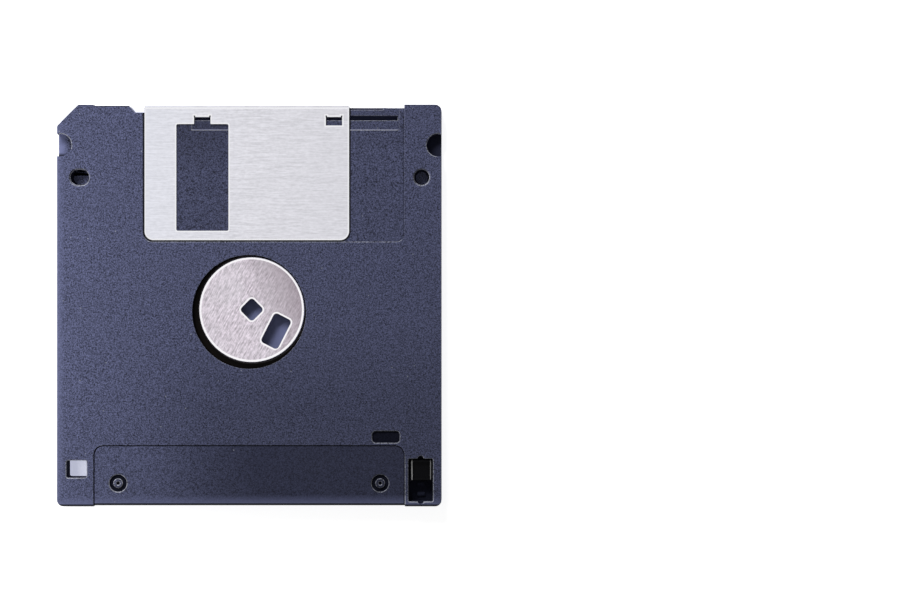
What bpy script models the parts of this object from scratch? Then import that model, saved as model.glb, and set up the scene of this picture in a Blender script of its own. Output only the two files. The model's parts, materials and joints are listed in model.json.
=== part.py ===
"""A 90 mm flexible disk cartridge, modelled as the pieces it is put together from.

The cartridge lies on its label side with the hub side up. +Y points to the shutter end, +X to the
side that the shutter opens to, and the origin is the centre of the case on the surface it lies on.
"""
import math

import bmesh
import bpy
from mathutils import Vector

MM = 0.001

# Case
CASE_WIDTH = 90.0 * MM
CASE_THICKNESS = 3.3 * MM
SIDE_WALL = 1.2 * MM
FACE_WALL = 0.8 * MM
RIB_WALL = 0.8 * MM
FRONT_ROOM_LENGTH = 19.9 * MM
KEY_ROOM_WIDTH = 17.5 * MM
KEY_ROOM_CUT = 3.5 * MM
REAR_ROOM_WIDTH = 19.7 * MM
REAR_ROOM_LENGTH = 18.2 * MM
FRONT_MARGIN = 4.7 * MM
REAR_MARGIN = 1.7 * MM
CORNER_RADIUS = 1.5 * MM
KEY_CUT = 5.0 * MM
KEY_CORNER = 0.6 * MM
EDGE_ROUND = 0.3 * MM
SEAM_GAP = 0.04 * MM

# Disc, hub and the room they turn in
DISC_CLEARANCE = 0.9 * MM
MEDIUM_THICKNESS = 0.08 * MM
HUB_RADIUS = 12.45 * MM
HUB_SHEET = 0.3 * MM
HUB_BEND = 0.45 * MM
HUB_FACE_SINK = 0.35 * MM
HUB_PLAY = 0.9 * MM
HUB_SHIFT_X = 0.58 * MM
HUB_SHIFT_Y = 0.54 * MM
FLANGE_WIDTH = 2.3 * MM
SEAT_CLEARANCE = 0.1 * MM
CENTRE_SEAT_HEIGHT = 0.25 * MM
BOND_THICKNESS = 0.06 * MM
FILM_GAP = 0.02 * MM
SPINDLE_HOLE = 4.0 * MM
SPINDLE_HOLE_RADIUS = 0.75 * MM
DRIVE_SLOT_LENGTH = 7.6 * MM
DRIVE_SLOT_WIDTH = 4.4 * MM
DRIVE_SLOT_CORNER = 0.8 * MM
DRIVE_SLOT_OUT = 7.6 * MM
DRIVE_SLOT_BEARING = math.radians(-41.5)
DRIVE_SLOT_TURN = math.radians(63.0)

# Liners and the leaf that presses one of them on the disc
LINER_THICKNESS = 0.15 * MM
LINER_MARGIN = 1.9 * MM
LINER_BORE_MARGIN = 1.2 * MM
LINER_SLOT_MARGIN = 0.8 * MM
LEAF_LENGTH = 20.0 * MM
LEAF_WIDTH = 12.0 * MM
LEAF_THICKNESS = 0.1 * MM
LEAF_SETBACK = 2.5 * MM
LEAF_SEAT_MARGIN = 0.2 * MM

# Shutter
SHEET = 0.2 * MM
SHUTTER_WIDTH = 47.9 * MM
SHUTTER_TRAVEL = 12.5 * MM
SHUTTER_CORNER = 2.1 * MM
SHUTTER_FOLD = 0.45 * MM
SHUTTER_FRONT_SINK = 0.15 * MM
SHUTTER_SIDE_GAP = 0.1 * MM
SHUTTER_FACE_GAP = 0.04 * MM
SHUTTER_RECESS_DEPTH = 0.3 * MM
SHUTTER_END_GAP = 0.3 * MM
WINDOW_MARGIN = 7.5 * MM
WINDOW_SIDE_MARGIN = 3.15 * MM
WINDOW_FRONT_MARGIN = 0.4 * MM
WINDOW_REAR_MARGIN = 0.5 * MM
WINDOW_REAR_FRAME = 2.25 * MM
WINDOW_CORNER = 0.35 * MM
GUIDE_TAB_WIDTH = 3.8 * MM
GUIDE_TAB_LENGTH = 2.0 * MM
GUIDE_TAB_FRONT_GAP = 0.2 * MM
GUIDE_TAB_OFFSET = 4.15 * MM
GUIDE_TAB_INSET = 1.65 * MM
ARM_LENGTH = 8.0 * MM
ARM_HEIGHT = 0.7 * MM
ARM_SETBACK = 0.5 * MM
ARM_ROOT = 3.0 * MM
ARM_CLEARANCE = 0.1 * MM
TAB_BEND = 0.15 * MM
TAB_ROOT = 0.6 * MM
TAB_RELIEF_WIDTH = 0.26 * MM
TAB_RELIEF_LENGTH = 0.3 * MM

# Openings and recesses for the head, the shutter and its guides
HEAD_SLOT_WIDTH = 9.0 * MM
HEAD_SLOT_BRIDGE = 6.15 * MM
HEAD_SLOT_SETBACK = 5.0 * MM
HEAD_SLOT_CORNER = 1.0 * MM
GUIDE_SETBACK = 3.7 * MM
GUIDE_WIDTH = 1.1 * MM
GUIDE_END_GAP = 0.5 * MM
GUIDE_RELIEF_DEPTH = 0.12 * MM
GUIDE_RELIEF_SETBACK = 5.9 * MM
RECESS_CORNER = 1.85 * MM
RECESS_FRAME = 0.35 * MM

# Front edge
LAND_STEP = 0.3 * MM
WEB_CLEARANCE = 0.2 * MM
LEVER_TRACK_DEPTH = 1.9 * MM
LEVER_TRACK_LEAD = 2.3 * MM
LEVER_TRACK_SLOPE = 1.3 * MM
ARM_SHELF_DEPTH = 1.22 * MM
ARM_ROOF_DEPTH = 0.78 * MM
ARM_ROOF_WALL = 0.35 * MM
CATCH_WIDTH = 3.6 * MM
CATCH_DEPTH = 1.5 * MM
CATCH_SLOPE = 0.9 * MM

# Holes that locate the cartridge in a drive
LOCATING_FROM_FRONT = 17.0 * MM
LOCATING_FROM_SIDE = 5.0 * MM
LOCATING_SHIFT = 0.35 * MM
LOCATING_RADIUS = 1.78 * MM
LOCATING_OVAL_LENGTH = 4.4 * MM
LOCATING_STEP = 0.25 * MM
LOCATING_STEP_DEPTH = 0.3 * MM
LOCATING_FLOOR = 1.0 * MM
LOCATING_LEDGE = 0.85 * MM
LOCATING_LEDGE_DEPTH = 0.5 * MM
BOSS_WALL = 0.9 * MM
NOTCH_FROM_FRONT = 9.5 * MM
NOTCH_RADIUS = 2.65 * MM
NOTCH_BITE = 3.5 * MM
NOTCH_DEPTH = 1.9 * MM

# Density hole, write-protect slider and its pocket
DENSITY_FROM_SIDE = 2.3 * MM
DENSITY_FROM_REAR = 6.7 * MM
DENSITY_WIDTH = 4.7 * MM
DENSITY_LENGTH = 4.05 * MM
DENSITY_STEP = 0.13 * MM
DENSITY_CORNER = 0.38 * MM
SLIDER_WIDTH = 4.9 * MM
SLIDER_LENGTH = 4.8 * MM
SLIDER_TRAVEL = 4.7 * MM
SLIDER_SIDE_GAP = 0.42 * MM
SLIDER_END_GAP = 0.25 * MM
SLIDER_FLOOR_GAP = 0.04 * MM
SLIDER_SINK = 0.45 * MM
SLIDER_RIDGE = 0.55 * MM
SLIDER_DISH_DEPTH = 0.5 * MM
SLIDER_CORNER = 0.3 * MM
SLIDER_EDGE = 0.12 * MM
POCKET_FROM_SIDE = 2.0 * MM
POCKET_FROM_REAR = 1.15 * MM
POCKET_CORNER = 0.3 * MM
POCKET_BITE = 0.68 * MM
SENSE_HOLE_MARGIN = 0.25 * MM
SENSE_HOLE_CORNER = 0.5 * MM
DETENT_WIDTH = 1.7 * MM
DETENT_RADIUS = 0.9 * MM
DETENT_HEIGHT = 0.35 * MM
DETENT_PITCH = 2.5 * MM
DETENT_FROM_REAR = 1.45 * MM
DETENT_CLEARANCE = 0.2 * MM

# Joining pegs, label recesses and the small moulded marks
PEG_FROM_CENTRE = 30.65 * MM
PEG_FROM_REAR = 5.4 * MM
PEG_BORE_RADIUS = 2.0 * MM
PEG_RING_RADIUS = 1.15 * MM
PEG_HOLE_RADIUS = 0.38 * MM
PEG_BORE_DEPTH = 0.6 * MM
PEG_RING_SINK = 0.2 * MM
PEG_HOLE_DEPTH = 0.6 * MM
LABEL_FROM_SIDE = 8.6 * MM
LABEL_DEPTH = 0.2 * MM
LABEL_WRAP = 0.25 * MM
LABEL_CORNER = 2.3 * MM
LABEL_FLAP = 14.35 * MM
LABEL_LENGTH = 55.4 * MM
MARK_DEPTH = 0.15 * MM
MARK_SINK = 0.4 * MM
MARK_WIDTH = 6.4 * MM
MARK_LENGTH = 2.7 * MM
MARK_CORNER = 0.8 * MM
MARK_FROM_SIDE = 9.8 * MM
MARK_FROM_REAR = 14.9 * MM
ARROW_FROM_SIDE = 4.1 * MM
ARROW_FROM_FRONT = 6.2 * MM
ARROW_HEAD_WIDTH = 3.6 * MM
ARROW_HEAD_LENGTH = 4.5 * MM
ARROW_SHAFT_WIDTH = 1.65 * MM
ARROW_SHAFT_LENGTH = 2.6 * MM

# Spring of the shutter
WIRE = 0.35 * MM
SPRING_COIL_RADIUS = 1.1 * MM
SPRING_LEG_SPREAD = 1.117
SPRING_PITCH = 0.42 * MM
SPRING_TURNS = 2
SPRING_STEP = math.radians(30.0)
SPRING_ANCHOR_INSET = 1.0 * MM
SPRING_HEIGHT = 1.55 * MM
SPRING_TAB_GAP = 0.1 * MM
SPRING_ROOM_START = 0.15 * MM

# Working values of the drawing itself: how far a cutter runs past what it cuts, how far a facet may
# lie from the round shape it stands for, the widest step of an arc, and what counts as one point,
# one flat face and one smooth face
OVER = 0.5 * MM
FACET_ERROR = 0.015 * MM
WIDEST_STEP = math.radians(22.5)
SAME_POINT = 0.001 * MM
SAME_FLAT = math.radians(0.5)
SMOOTH_ANGLE = math.radians(30.0)
RIM_STEPS = 2

# Places that follow from the sizes
COMPARTMENT_RADIUS = CASE_WIDTH / 2 - SIDE_WALL
MEDIUM_RADIUS = COMPARTMENT_RADIUS - DISC_CLEARANCE
CASE_LENGTH = 2 * COMPARTMENT_RADIUS + FRONT_MARGIN + REAR_MARGIN
RIGHT = CASE_WIDTH / 2
LEFT = -RIGHT
FRONT = CASE_LENGTH / 2
REAR = -FRONT
TOP = CASE_THICKNESS
SEAM = CASE_THICKNESS / 2
DISC_Y = FRONT - FRONT_MARGIN - COMPARTMENT_RADIUS
HUB_X = HUB_SHIFT_X
HUB_Y = DISC_Y + HUB_SHIFT_Y
INNER_LOW = FACE_WALL
INNER_HIGH = TOP - FACE_WALL
FLANGE_LOW = INNER_LOW + CENTRE_SEAT_HEIGHT + SEAT_CLEARANCE
FLANGE_RADIUS = HUB_RADIUS + FLANGE_WIDTH
BOND_LOW = FLANGE_LOW + HUB_SHEET + FILM_GAP
MEDIUM_LOW = BOND_LOW + BOND_THICKNESS + FILM_GAP
MEDIUM_BORE = HUB_RADIUS + HUB_SHEET
LINER_BORE = FLANGE_RADIUS + LINER_BORE_MARGIN
LINER_RADIUS = COMPARTMENT_RADIUS - LINER_MARGIN
SEAT_RADIUS = FLANGE_RADIUS + LINER_BORE_MARGIN / 2
HUB_OPENING_RADIUS = HUB_RADIUS + HUB_PLAY
HEAD_SLOT_FRONT = FRONT - HEAD_SLOT_SETBACK
HEAD_SLOT_REAR = DISC_Y + HUB_OPENING_RADIUS + HEAD_SLOT_BRIDGE

WINDOW_LEFT = -HEAD_SLOT_WIDTH / 2 - SHUTTER_TRAVEL
SHUTTER_LEFT = WINDOW_LEFT - WINDOW_MARGIN
SHUTTER_RIGHT = SHUTTER_LEFT + SHUTTER_WIDTH
WINDOW_RIGHT = WINDOW_LEFT + HEAD_SLOT_WIDTH + WINDOW_SIDE_MARGIN
WINDOW_FRONT = HEAD_SLOT_FRONT + WINDOW_FRONT_MARGIN
WINDOW_REAR = HEAD_SLOT_REAR - WINDOW_REAR_MARGIN
WEB_FRONT = FRONT - SHUTTER_FRONT_SINK
SHUTTER_REAR = WINDOW_REAR - WINDOW_REAR_FRAME
PLATE_GAP = SHUTTER_RECESS_DEPTH - SHUTTER_FACE_GAP - SHEET
RECESS_LEFT = SHUTTER_LEFT - SHUTTER_SIDE_GAP
RECESS_RIGHT = SHUTTER_RIGHT + SHUTTER_TRAVEL + SHUTTER_END_GAP
FRAME_RIGHT = RECESS_RIGHT + SHUTTER_SIDE_GAP
RECESS_REAR = SHUTTER_REAR - RECESS_FRAME
FIRST_TAB = WINDOW_LEFT + GUIDE_TAB_OFFSET
SECOND_TAB = SHUTTER_RIGHT - GUIDE_TAB_INSET - GUIDE_TAB_WIDTH
GUIDE_REAR = FRONT - GUIDE_SETBACK
GUIDE_FRONT = GUIDE_REAR + GUIDE_WIDTH
GUIDE_LEFT = FIRST_TAB - GUIDE_END_GAP
GUIDE_RIGHT = SECOND_TAB + GUIDE_TAB_WIDTH + SHUTTER_TRAVEL + GUIDE_END_GAP
TAB_FRONT = GUIDE_FRONT - GUIDE_TAB_FRONT_GAP
WEB_WALL = WEB_FRONT - SHEET - WEB_CLEARANCE
ARM_LOW = SEAM + ARM_CLEARANCE
ARM_FRONT = WEB_FRONT - ARM_SETBACK
ARM_END = SHUTTER_RIGHT + ARM_LENGTH
ARM_SHELF = FRONT - ARM_SHELF_DEPTH
RELIEF_FLOOR = TOP - SHUTTER_RECESS_DEPTH - GUIDE_RELIEF_DEPTH

POCKET_RIGHT = RIGHT - POCKET_FROM_SIDE
POCKET_LEFT = POCKET_RIGHT - SLIDER_WIDTH - 2 * SLIDER_SIDE_GAP
POCKET_REAR = REAR + POCKET_FROM_REAR
POCKET_FRONT = POCKET_REAR + SLIDER_LENGTH + SLIDER_TRAVEL + 2 * SLIDER_END_GAP
SLIDER_X = (POCKET_LEFT + POCKET_RIGHT) / 2
SLIDER_Y = POCKET_FRONT - SLIDER_END_GAP - SLIDER_LENGTH / 2
LABEL_RIGHT = RIGHT - LABEL_FROM_SIDE


def new_collection(name):
    """A collection under the scene's own."""
    collection = bpy.data.collections.new(name)
    bpy.context.scene.collection.children.link(collection)
    return collection


def clear_scene():
    """Take away what the scene holds."""
    for thing in list(bpy.data.objects):
        bpy.data.objects.remove(thing)


def plain_material(name, colour, roughness, metallic):
    """A Principled BSDF material with three plain values."""
    material = bpy.data.materials.new(name)
    material.use_nodes = True
    shader = material.node_tree.nodes["Principled BSDF"]
    shader.inputs["Base Color"].default_value = (*colour, 1.0)
    shader.inputs["Roughness"].default_value = roughness
    shader.inputs["Metallic"].default_value = metallic
    return material


def facet_step(radius):
    """The angle of one facet of a round shape, so that it stays near the true curve."""
    return min(WIDEST_STEP, 2 * math.acos(1 - FACET_ERROR / radius))


def sides_of(radius):
    """How many sides a full circle of this radius gets, in fours."""
    return 4 * math.ceil(math.pi / 2 / facet_step(radius))


def arc(x, y, radius, start, end):
    """Points of an arc about (x, y), from one angle to the other."""
    steps = max(2, math.ceil(abs(end - start) / facet_step(radius)))
    angles = [start + (end - start) * i / steps for i in range(steps + 1)]
    return [(x + radius * math.cos(a), y + radius * math.sin(a)) for a in angles]


def rounded(corners):
    """An outline through corners (x, y, radius), with an arc at each corner that has a radius."""
    outline = []
    for i, (x, y, radius) in enumerate(corners):
        here = Vector((x, y))
        if radius <= 0:
            outline.append((x, y))
            continue
        back = (Vector(corners[i - 1][:2]) - here).normalized()
        ahead = (Vector(corners[(i + 1) % len(corners)][:2]) - here).normalized()
        half = back.angle(ahead) / 2
        centre = here + (back + ahead).normalized() * radius / math.sin(half)
        first = here + back * radius / math.tan(half) - centre
        last = here + ahead * radius / math.tan(half) - centre
        start = math.atan2(first.y, first.x)
        turn = (math.atan2(last.y, last.x) - start + math.pi) % (2 * math.pi) - math.pi
        outline += arc(centre.x, centre.y, radius, start, start + turn)
    return outline


def rectangle(x_low, x_high, y_low, y_high, radius=0.0):
    """The outline of a rectangle with one corner radius."""
    corners = ((x_low, y_low), (x_high, y_low), (x_high, y_high), (x_low, y_high))
    return rounded([(x, y, radius) for x, y in corners])


def oval(x, y, length, radius):
    """The outline of an oval that lies along X: two half circles joined by straight lines."""
    reach = length / 2 - radius
    quarter = math.pi / 2
    return arc(x + reach, y, radius, -quarter, quarter) + arc(x - reach, y, radius, quarter, 3 * quarter)


def turned_about(outline, x, y, angle):
    """An outline drawn about the origin, turned and then moved to (x, y)."""
    c = math.cos(angle)
    s = math.sin(angle)
    return [(x + c * px - s * py, y + s * px + c * py) for px, py in outline]


def add_object(name, mesh, collection, location=(0.0, 0.0, 0.0)):
    """Link a new object that carries the mesh."""
    thing = bpy.data.objects.new(name, mesh)
    thing.location = location
    collection.objects.link(thing)
    if collection == CUTTERS:
        thing.hide_render = True
        thing.display_type = "WIRE"
    return thing


def weld(mesh):
    """Close a mesh along its doubled points and join its flat triangles."""
    bm = bmesh.new()
    bm.from_mesh(mesh)
    bmesh.ops.remove_doubles(bm, verts=bm.verts, dist=SAME_POINT)
    bmesh.ops.dissolve_limit(bm, angle_limit=SAME_FLAT, verts=bm.verts, edges=bm.edges)
    bmesh.ops.recalc_face_normals(bm, faces=bm.faces)
    bm.to_mesh(mesh)
    bm.free()


def mesh_of(thing):
    """The mesh of an object as its modifiers or its curve make it."""
    return bpy.data.meshes.new_from_object(thing.evaluated_get(bpy.context.evaluated_depsgraph_get()))


def prism(name, outline, z_low, z_high, collection, location=(0.0, 0.0)):
    """A flat outline given a thickness: a filled 2D curve, made a mesh."""
    curve = bpy.data.curves.new(name + "_outline", "CURVE")
    curve.dimensions = "2D"
    curve.fill_mode = "BOTH"
    curve.extrude = (z_high - z_low) / 2
    spline = curve.splines.new("POLY")
    spline.points.add(len(outline) - 1)
    for point, (x, y) in zip(spline.points, outline):
        point.co = (x, y, 0.0, 1.0)
    spline.use_cyclic_u = True
    drawn = add_object(name + "_outline", curve, collection)
    bpy.context.view_layer.update()
    mesh = mesh_of(drawn)
    mesh.name = name
    bpy.data.objects.remove(drawn)
    weld(mesh)
    return add_object(name, mesh, collection, (*location, (z_low + z_high) / 2))


def round_rim(thing, z, width):
    """Round the edges of a mesh that run round its face at one height of its own frame."""
    bm = bmesh.new()
    bm.from_mesh(thing.data)
    rim = [e for e in bm.edges if all(abs(v.co.z - z) < SAME_POINT for v in e.verts)]
    bmesh.ops.bevel(bm, geom=rim, offset=width, segments=RIM_STEPS, profile=0.5, affect="EDGES")
    bm.to_mesh(thing.data)
    bm.free()


def cylinder(name, x, y, radius, z_low, z_high, collection):
    """An upright cylinder from a primitive cone."""
    mesh = bpy.data.meshes.new(name)
    bm = bmesh.new()
    bmesh.ops.create_cone(
        bm, cap_ends=True, segments=sides_of(radius), radius1=radius, radius2=radius, depth=z_high - z_low
    )
    bm.to_mesh(mesh)
    bm.free()
    return add_object(name, mesh, collection, (x, y, (z_low + z_high) / 2))


def block(name, x_low, x_high, y_low, y_high, z_low, z_high, collection):
    """A plain block from a primitive cube."""
    mesh = bpy.data.meshes.new(name)
    bm = bmesh.new()
    bmesh.ops.create_cube(bm, size=1.0)
    size = Vector((x_high - x_low, y_high - y_low, z_high - z_low))
    bmesh.ops.scale(bm, vec=size, verts=bm.verts)
    bm.to_mesh(mesh)
    bm.free()
    place = ((x_low + x_high) / 2, (y_low + y_high) / 2, (z_low + z_high) / 2)
    return add_object(name, mesh, collection, place)


def turned(name, profile, x, y, collection, closed=False):
    """A turned shape: a profile of (radius, height) that runs down its outer side."""
    mesh = bpy.data.meshes.new(name)
    count = len(profile)
    edges = [(i, i + 1) for i in range(count - 1)]
    if closed:
        edges.append((count - 1, 0))
    mesh.from_pydata([(r, 0.0, z) for r, z in profile], edges, [])
    thing = add_object(name, mesh, collection, (x, y, 0.0))
    screw = thing.modifiers.new("turn", "SCREW")
    screw.steps = sides_of(max(r for r, z in profile))
    screw.render_steps = screw.steps
    screw.use_merge_vertices = True
    screw.merge_threshold = 2 * SAME_POINT
    screw.use_smooth_shade = False
    return thing


def cut(thing, *cutters):
    """Cut each cutter out of a piece."""
    for cutter in cutters:
        modifier = thing.modifiers.new(cutter.name, "BOOLEAN")
        modifier.operation = "DIFFERENCE"
        modifier.solver = "EXACT"
        modifier.object = cutter


def join(thing, *additions):
    """Join each addition to a piece as one body."""
    for addition in additions:
        modifier = thing.modifiers.new(addition.name, "BOOLEAN")
        modifier.operation = "UNION"
        modifier.solver = "EXACT"
        modifier.object = addition


def finish(thing, material):
    """Give a piece its material and its smooth round faces."""
    thing.data.materials.clear()
    thing.data.materials.append(material)
    if thing.type == "MESH":
        thing.data.shade_smooth()
        thing.data.set_sharp_from_angle(angle=SMOOTH_ANGLE)


def case_outline():
    """The outline of the case before its front and rear edges are stepped."""
    return rounded(
        [
            (LEFT, FRONT - KEY_CUT, KEY_CORNER),
            (LEFT + KEY_CUT, FRONT, KEY_CORNER),
            (RIGHT, FRONT, CORNER_RADIUS),
            (RIGHT, REAR, CORNER_RADIUS),
            (LEFT, REAR, CORNER_RADIUS),
        ]
    )


def front_cutter(name, z_low, z_high, label_side):
    """What is taken off one shell's front edge between the raised lands beside the two corners: the
    track of the lever that pushes the shutter, the wall behind the shutter, and to the right of it
    the arm's shelf on the hub side or a catch on the label side."""
    track_floor = FRONT - LEVER_TRACK_DEPTH
    track_start = SHUTTER_LEFT - LEVER_TRACK_LEAD
    track_end = SHUTTER_LEFT + SHUTTER_TRAVEL + LEVER_TRACK_SLOPE
    outline = [
        (-FRAME_RIGHT, FRONT + OVER),
        (-FRAME_RIGHT, FRONT - LAND_STEP),
        (track_start - LEVER_TRACK_SLOPE, FRONT - LAND_STEP),
        (track_start, track_floor),
        (track_end, track_floor),
        (track_end + LEVER_TRACK_SLOPE, WEB_WALL),
    ]
    if label_side:
        catch_start = FRAME_RIGHT - CATCH_WIDTH
        outline += [
            (catch_start - CATCH_SLOPE, WEB_WALL),
            (catch_start, FRONT - CATCH_DEPTH),
            (FRAME_RIGHT, FRONT - CATCH_DEPTH),
        ]
    else:
        shelf_start = SHUTTER_RIGHT - GUIDE_TAB_INSET
        outline += [
            (shelf_start, WEB_WALL),
            (shelf_start, ARM_SHELF),
            (ARM_END, ARM_SHELF),
            (ARM_END, FRONT - ARM_ROOF_DEPTH),
            (FRAME_RIGHT, FRONT - ARM_ROOF_DEPTH),
        ]
    outline.append((FRAME_RIGHT, FRONT + OVER))
    return prism(name, outline, z_low, z_high, CUTTERS)


def rear_cutter(name, z_low, z_high):
    """The shallow step in the rear edge that the label wraps round."""
    return block(name, -LABEL_RIGHT, LABEL_RIGHT, REAR - OVER, REAR + LABEL_WRAP, z_low, z_high, CUTTERS)


def corner_outline(side, end, along, up, outer_x, outer_y, key_cut=0.0):
    """A pocket in one corner of the case, bounded inside by the rib round the disc. It starts at one
    distance along X and one along Y from the middle of the case."""
    radius = COMPARTMENT_RADIUS + RIB_WALL
    rise = math.sqrt(radius**2 - along**2)
    run = math.sqrt(radius**2 - (up - end * DISC_Y) ** 2)
    start = math.atan2(rise, along)
    stop = math.atan2(up - end * DISC_Y, run)
    points = [(x, end * DISC_Y + y) for x, y in arc(0.0, 0.0, radius, start, stop)]
    points.append((outer_x, up))
    if key_cut:
        points += [(outer_x, outer_y - key_cut), (outer_x - key_cut, outer_y)]
    else:
        points.append((outer_x, outer_y))
    points.append((along, outer_y))
    return [(side * x, end * y) for x, y in points]


def inner_cutters():
    """The hollows inside the case, which cut both shells: the disc's room and the four corner
    pockets, each left solid round its bosses."""
    low = INNER_LOW
    high = INNER_HIGH
    room = cylinder("disc_room", 0.0, DISC_Y, COMPARTMENT_RADIUS, low, high, CUTTERS)
    seat = cylinder(
        "centre_seat", 0.0, DISC_Y, SEAT_RADIUS, low - OVER, low + CENTRE_SEAT_HEIGHT, CUTTERS
    )
    cut(room, seat)
    inner_x = RIGHT - SIDE_WALL
    inner_rear = CASE_LENGTH / 2 - SIDE_WALL - LABEL_WRAP
    inner_front = FRONT - LEVER_TRACK_DEPTH - RIB_WALL
    reach_front = FRONT - LOCATING_FROM_FRONT
    notch_x = RIGHT - NOTCH_BITE + NOTCH_RADIUS
    spring_room = prism(
        "spring_room",
        corner_outline(
            1, 1, SECOND_TAB + GUIDE_TAB_WIDTH + SPRING_ROOM_START, inner_front - FRONT_ROOM_LENGTH,
            inner_x, inner_front,
        ),
        low, high, CUTTERS,
    )
    key_room = prism(
        "key_room",
        corner_outline(
            -1, 1, inner_x - KEY_ROOM_WIDTH, inner_front - FRONT_ROOM_LENGTH,
            inner_x, inner_front, KEY_ROOM_CUT,
        ),
        low, high, CUTTERS,
    )
    for side, pocket in ((1, spring_room), (-1, key_room)):
        name = "right" if side == 1 else "left"
        cut(
            pocket,
            cylinder(
                "locating_boss_" + name, locating_x(side), reach_front,
                LOCATING_OVAL_LENGTH / 2 + BOSS_WALL, low - OVER, high + OVER, CUTTERS,
            ),
            cylinder(
                "notch_boss_" + name, side * notch_x, FRONT - NOTCH_FROM_FRONT,
                NOTCH_RADIUS + BOSS_WALL, low - OVER, high + OVER, CUTTERS,
            ),
        )
    rooms = [room, spring_room, key_room]
    for side, name in ((1, "right"), (-1, "left")):
        pocket = prism(
            "rear_room_" + name,
            corner_outline(
                side, -1, inner_x - REAR_ROOM_WIDTH, inner_rear - REAR_ROOM_LENGTH, inner_x, inner_rear
            ),
            low, high, CUTTERS,
        )
        peg = cylinder(
            "peg_boss_" + name, side * PEG_FROM_CENTRE, REAR + PEG_FROM_REAR,
            PEG_BORE_RADIUS + BOSS_WALL, low - OVER, high + OVER, CUTTERS,
        )
        cut(pocket, peg)
        rooms.append(pocket)
    slider_wall = block(
        "slider_wall", POCKET_LEFT - RIB_WALL, RIGHT, REAR, POCKET_FRONT + POCKET_BITE + RIB_WALL,
        low - OVER, high + OVER, CUTTERS,
    )
    density_wall = block(
        "density_wall", LEFT, LEFT + DENSITY_FROM_SIDE + DENSITY_WIDTH + RIB_WALL,
        REAR + DENSITY_FROM_REAR - RIB_WALL, REAR + DENSITY_FROM_REAR + DENSITY_LENGTH + RIB_WALL,
        low - OVER, high + OVER, CUTTERS,
    )
    cut(rooms[3], slider_wall)
    cut(rooms[4], density_wall)
    return rooms


def head_slot():
    """The slot that the heads reach the disc through, open in both faces of the case."""
    half = HEAD_SLOT_WIDTH / 2
    outline = rectangle(-half, half, HEAD_SLOT_REAR, HEAD_SLOT_FRONT, HEAD_SLOT_CORNER)
    return prism("head_slot", outline, -OVER, TOP + OVER, CUTTERS)


def shutter_recess(name, face, depth, direction):
    """The shallow recess that the shutter slides in, open to the front."""
    outline = rounded(
        [
            (RECESS_LEFT, RECESS_REAR, RECESS_CORNER),
            (FRAME_RIGHT, RECESS_REAR, RECESS_CORNER),
            (FRAME_RIGHT, FRONT + OVER, 0.0),
            (RECESS_LEFT, FRONT + OVER, 0.0),
        ]
    )
    low, high = sorted((face - direction * depth, face + direction * OVER))
    return prism(name, outline, low, high, CUTTERS)


def label_recess(name, face, length, direction):
    """The shallow recess of the label, open to the rear."""
    outline = rounded(
        [
            (-LABEL_RIGHT, REAR - OVER, 0.0),
            (LABEL_RIGHT, REAR - OVER, 0.0),
            (LABEL_RIGHT, REAR + length, LABEL_CORNER),
            (-LABEL_RIGHT, REAR + length, LABEL_CORNER),
        ]
    )
    low, high = sorted((face - direction * LABEL_DEPTH, face + direction * OVER))
    return prism(name, outline, low, high, CUTTERS)


def peg_cutter(name, x, face, direction):
    """The counterbore of a joining peg, with the raised ring and the small hole in its middle."""
    profile = [
        (0.0, OVER),
        (PEG_BORE_RADIUS, OVER),
        (PEG_BORE_RADIUS, -PEG_BORE_DEPTH),
        (PEG_RING_RADIUS, -PEG_BORE_DEPTH),
        (PEG_RING_RADIUS, -PEG_RING_SINK),
        (PEG_HOLE_RADIUS, -PEG_RING_SINK),
        (PEG_HOLE_RADIUS, -PEG_HOLE_DEPTH),
        (0.0, -PEG_HOLE_DEPTH),
    ]
    if direction < 0:
        profile = profile[::-1]
    heights = [(r, face + direction * z) for r, z in profile]
    return turned(name, heights, x, REAR + PEG_FROM_REAR, CUTTERS)


def peg_cutters(face, direction, label):
    """Both pegs as one face of the case shows them."""
    return [
        peg_cutter(f"peg_{label}_{name}", side * PEG_FROM_CENTRE, face, direction)
        for side, name in ((1, "right"), (-1, "left"))
    ]


def detent_humps():
    """The two low round humps on the pocket's floor that the slider clicks over, lying along X."""
    humps = []
    for number in range(2):
        name = f"detent_hump_{number + 1}"
        y = POCKET_REAR + DETENT_FROM_REAR + number * DETENT_PITCH
        hump = cylinder(name, SLIDER_X, y, DETENT_RADIUS, -DETENT_WIDTH / 2, DETENT_WIDTH / 2, CUTTERS)
        hump.location.z = INNER_LOW + DETENT_HEIGHT - DETENT_RADIUS
        hump.rotation_euler.y = math.pi / 2
        humps.append(hump)
    return humps


def pocket_cutters():
    """The write-protect slider's pocket with its detent humps left standing, and a half-round bite
    in the middle of each end."""
    outline = rectangle(POCKET_LEFT, POCKET_RIGHT, POCKET_REAR, POCKET_FRONT, POCKET_CORNER)
    pocket = prism("slider_pocket", outline, INNER_LOW, TOP + OVER, CUTTERS)
    cut(pocket, *detent_humps())
    return [
        pocket,
        cylinder("pocket_bite_front", SLIDER_X, POCKET_FRONT, POCKET_BITE, SEAM, TOP + OVER, CUTTERS),
        cylinder("pocket_bite_rear", SLIDER_X, POCKET_REAR, POCKET_BITE, SEAM, TOP + OVER, CUTTERS),
    ]


def density_outline(margin):
    """The square hole that tells the density, at one distance inside its widest outline."""
    left = LEFT + DENSITY_FROM_SIDE
    rear = REAR + DENSITY_FROM_REAR
    return rectangle(
        left + margin, left + DENSITY_WIDTH - margin,
        rear + margin, rear + DENSITY_LENGTH - margin, DENSITY_CORNER,
    )


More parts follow.
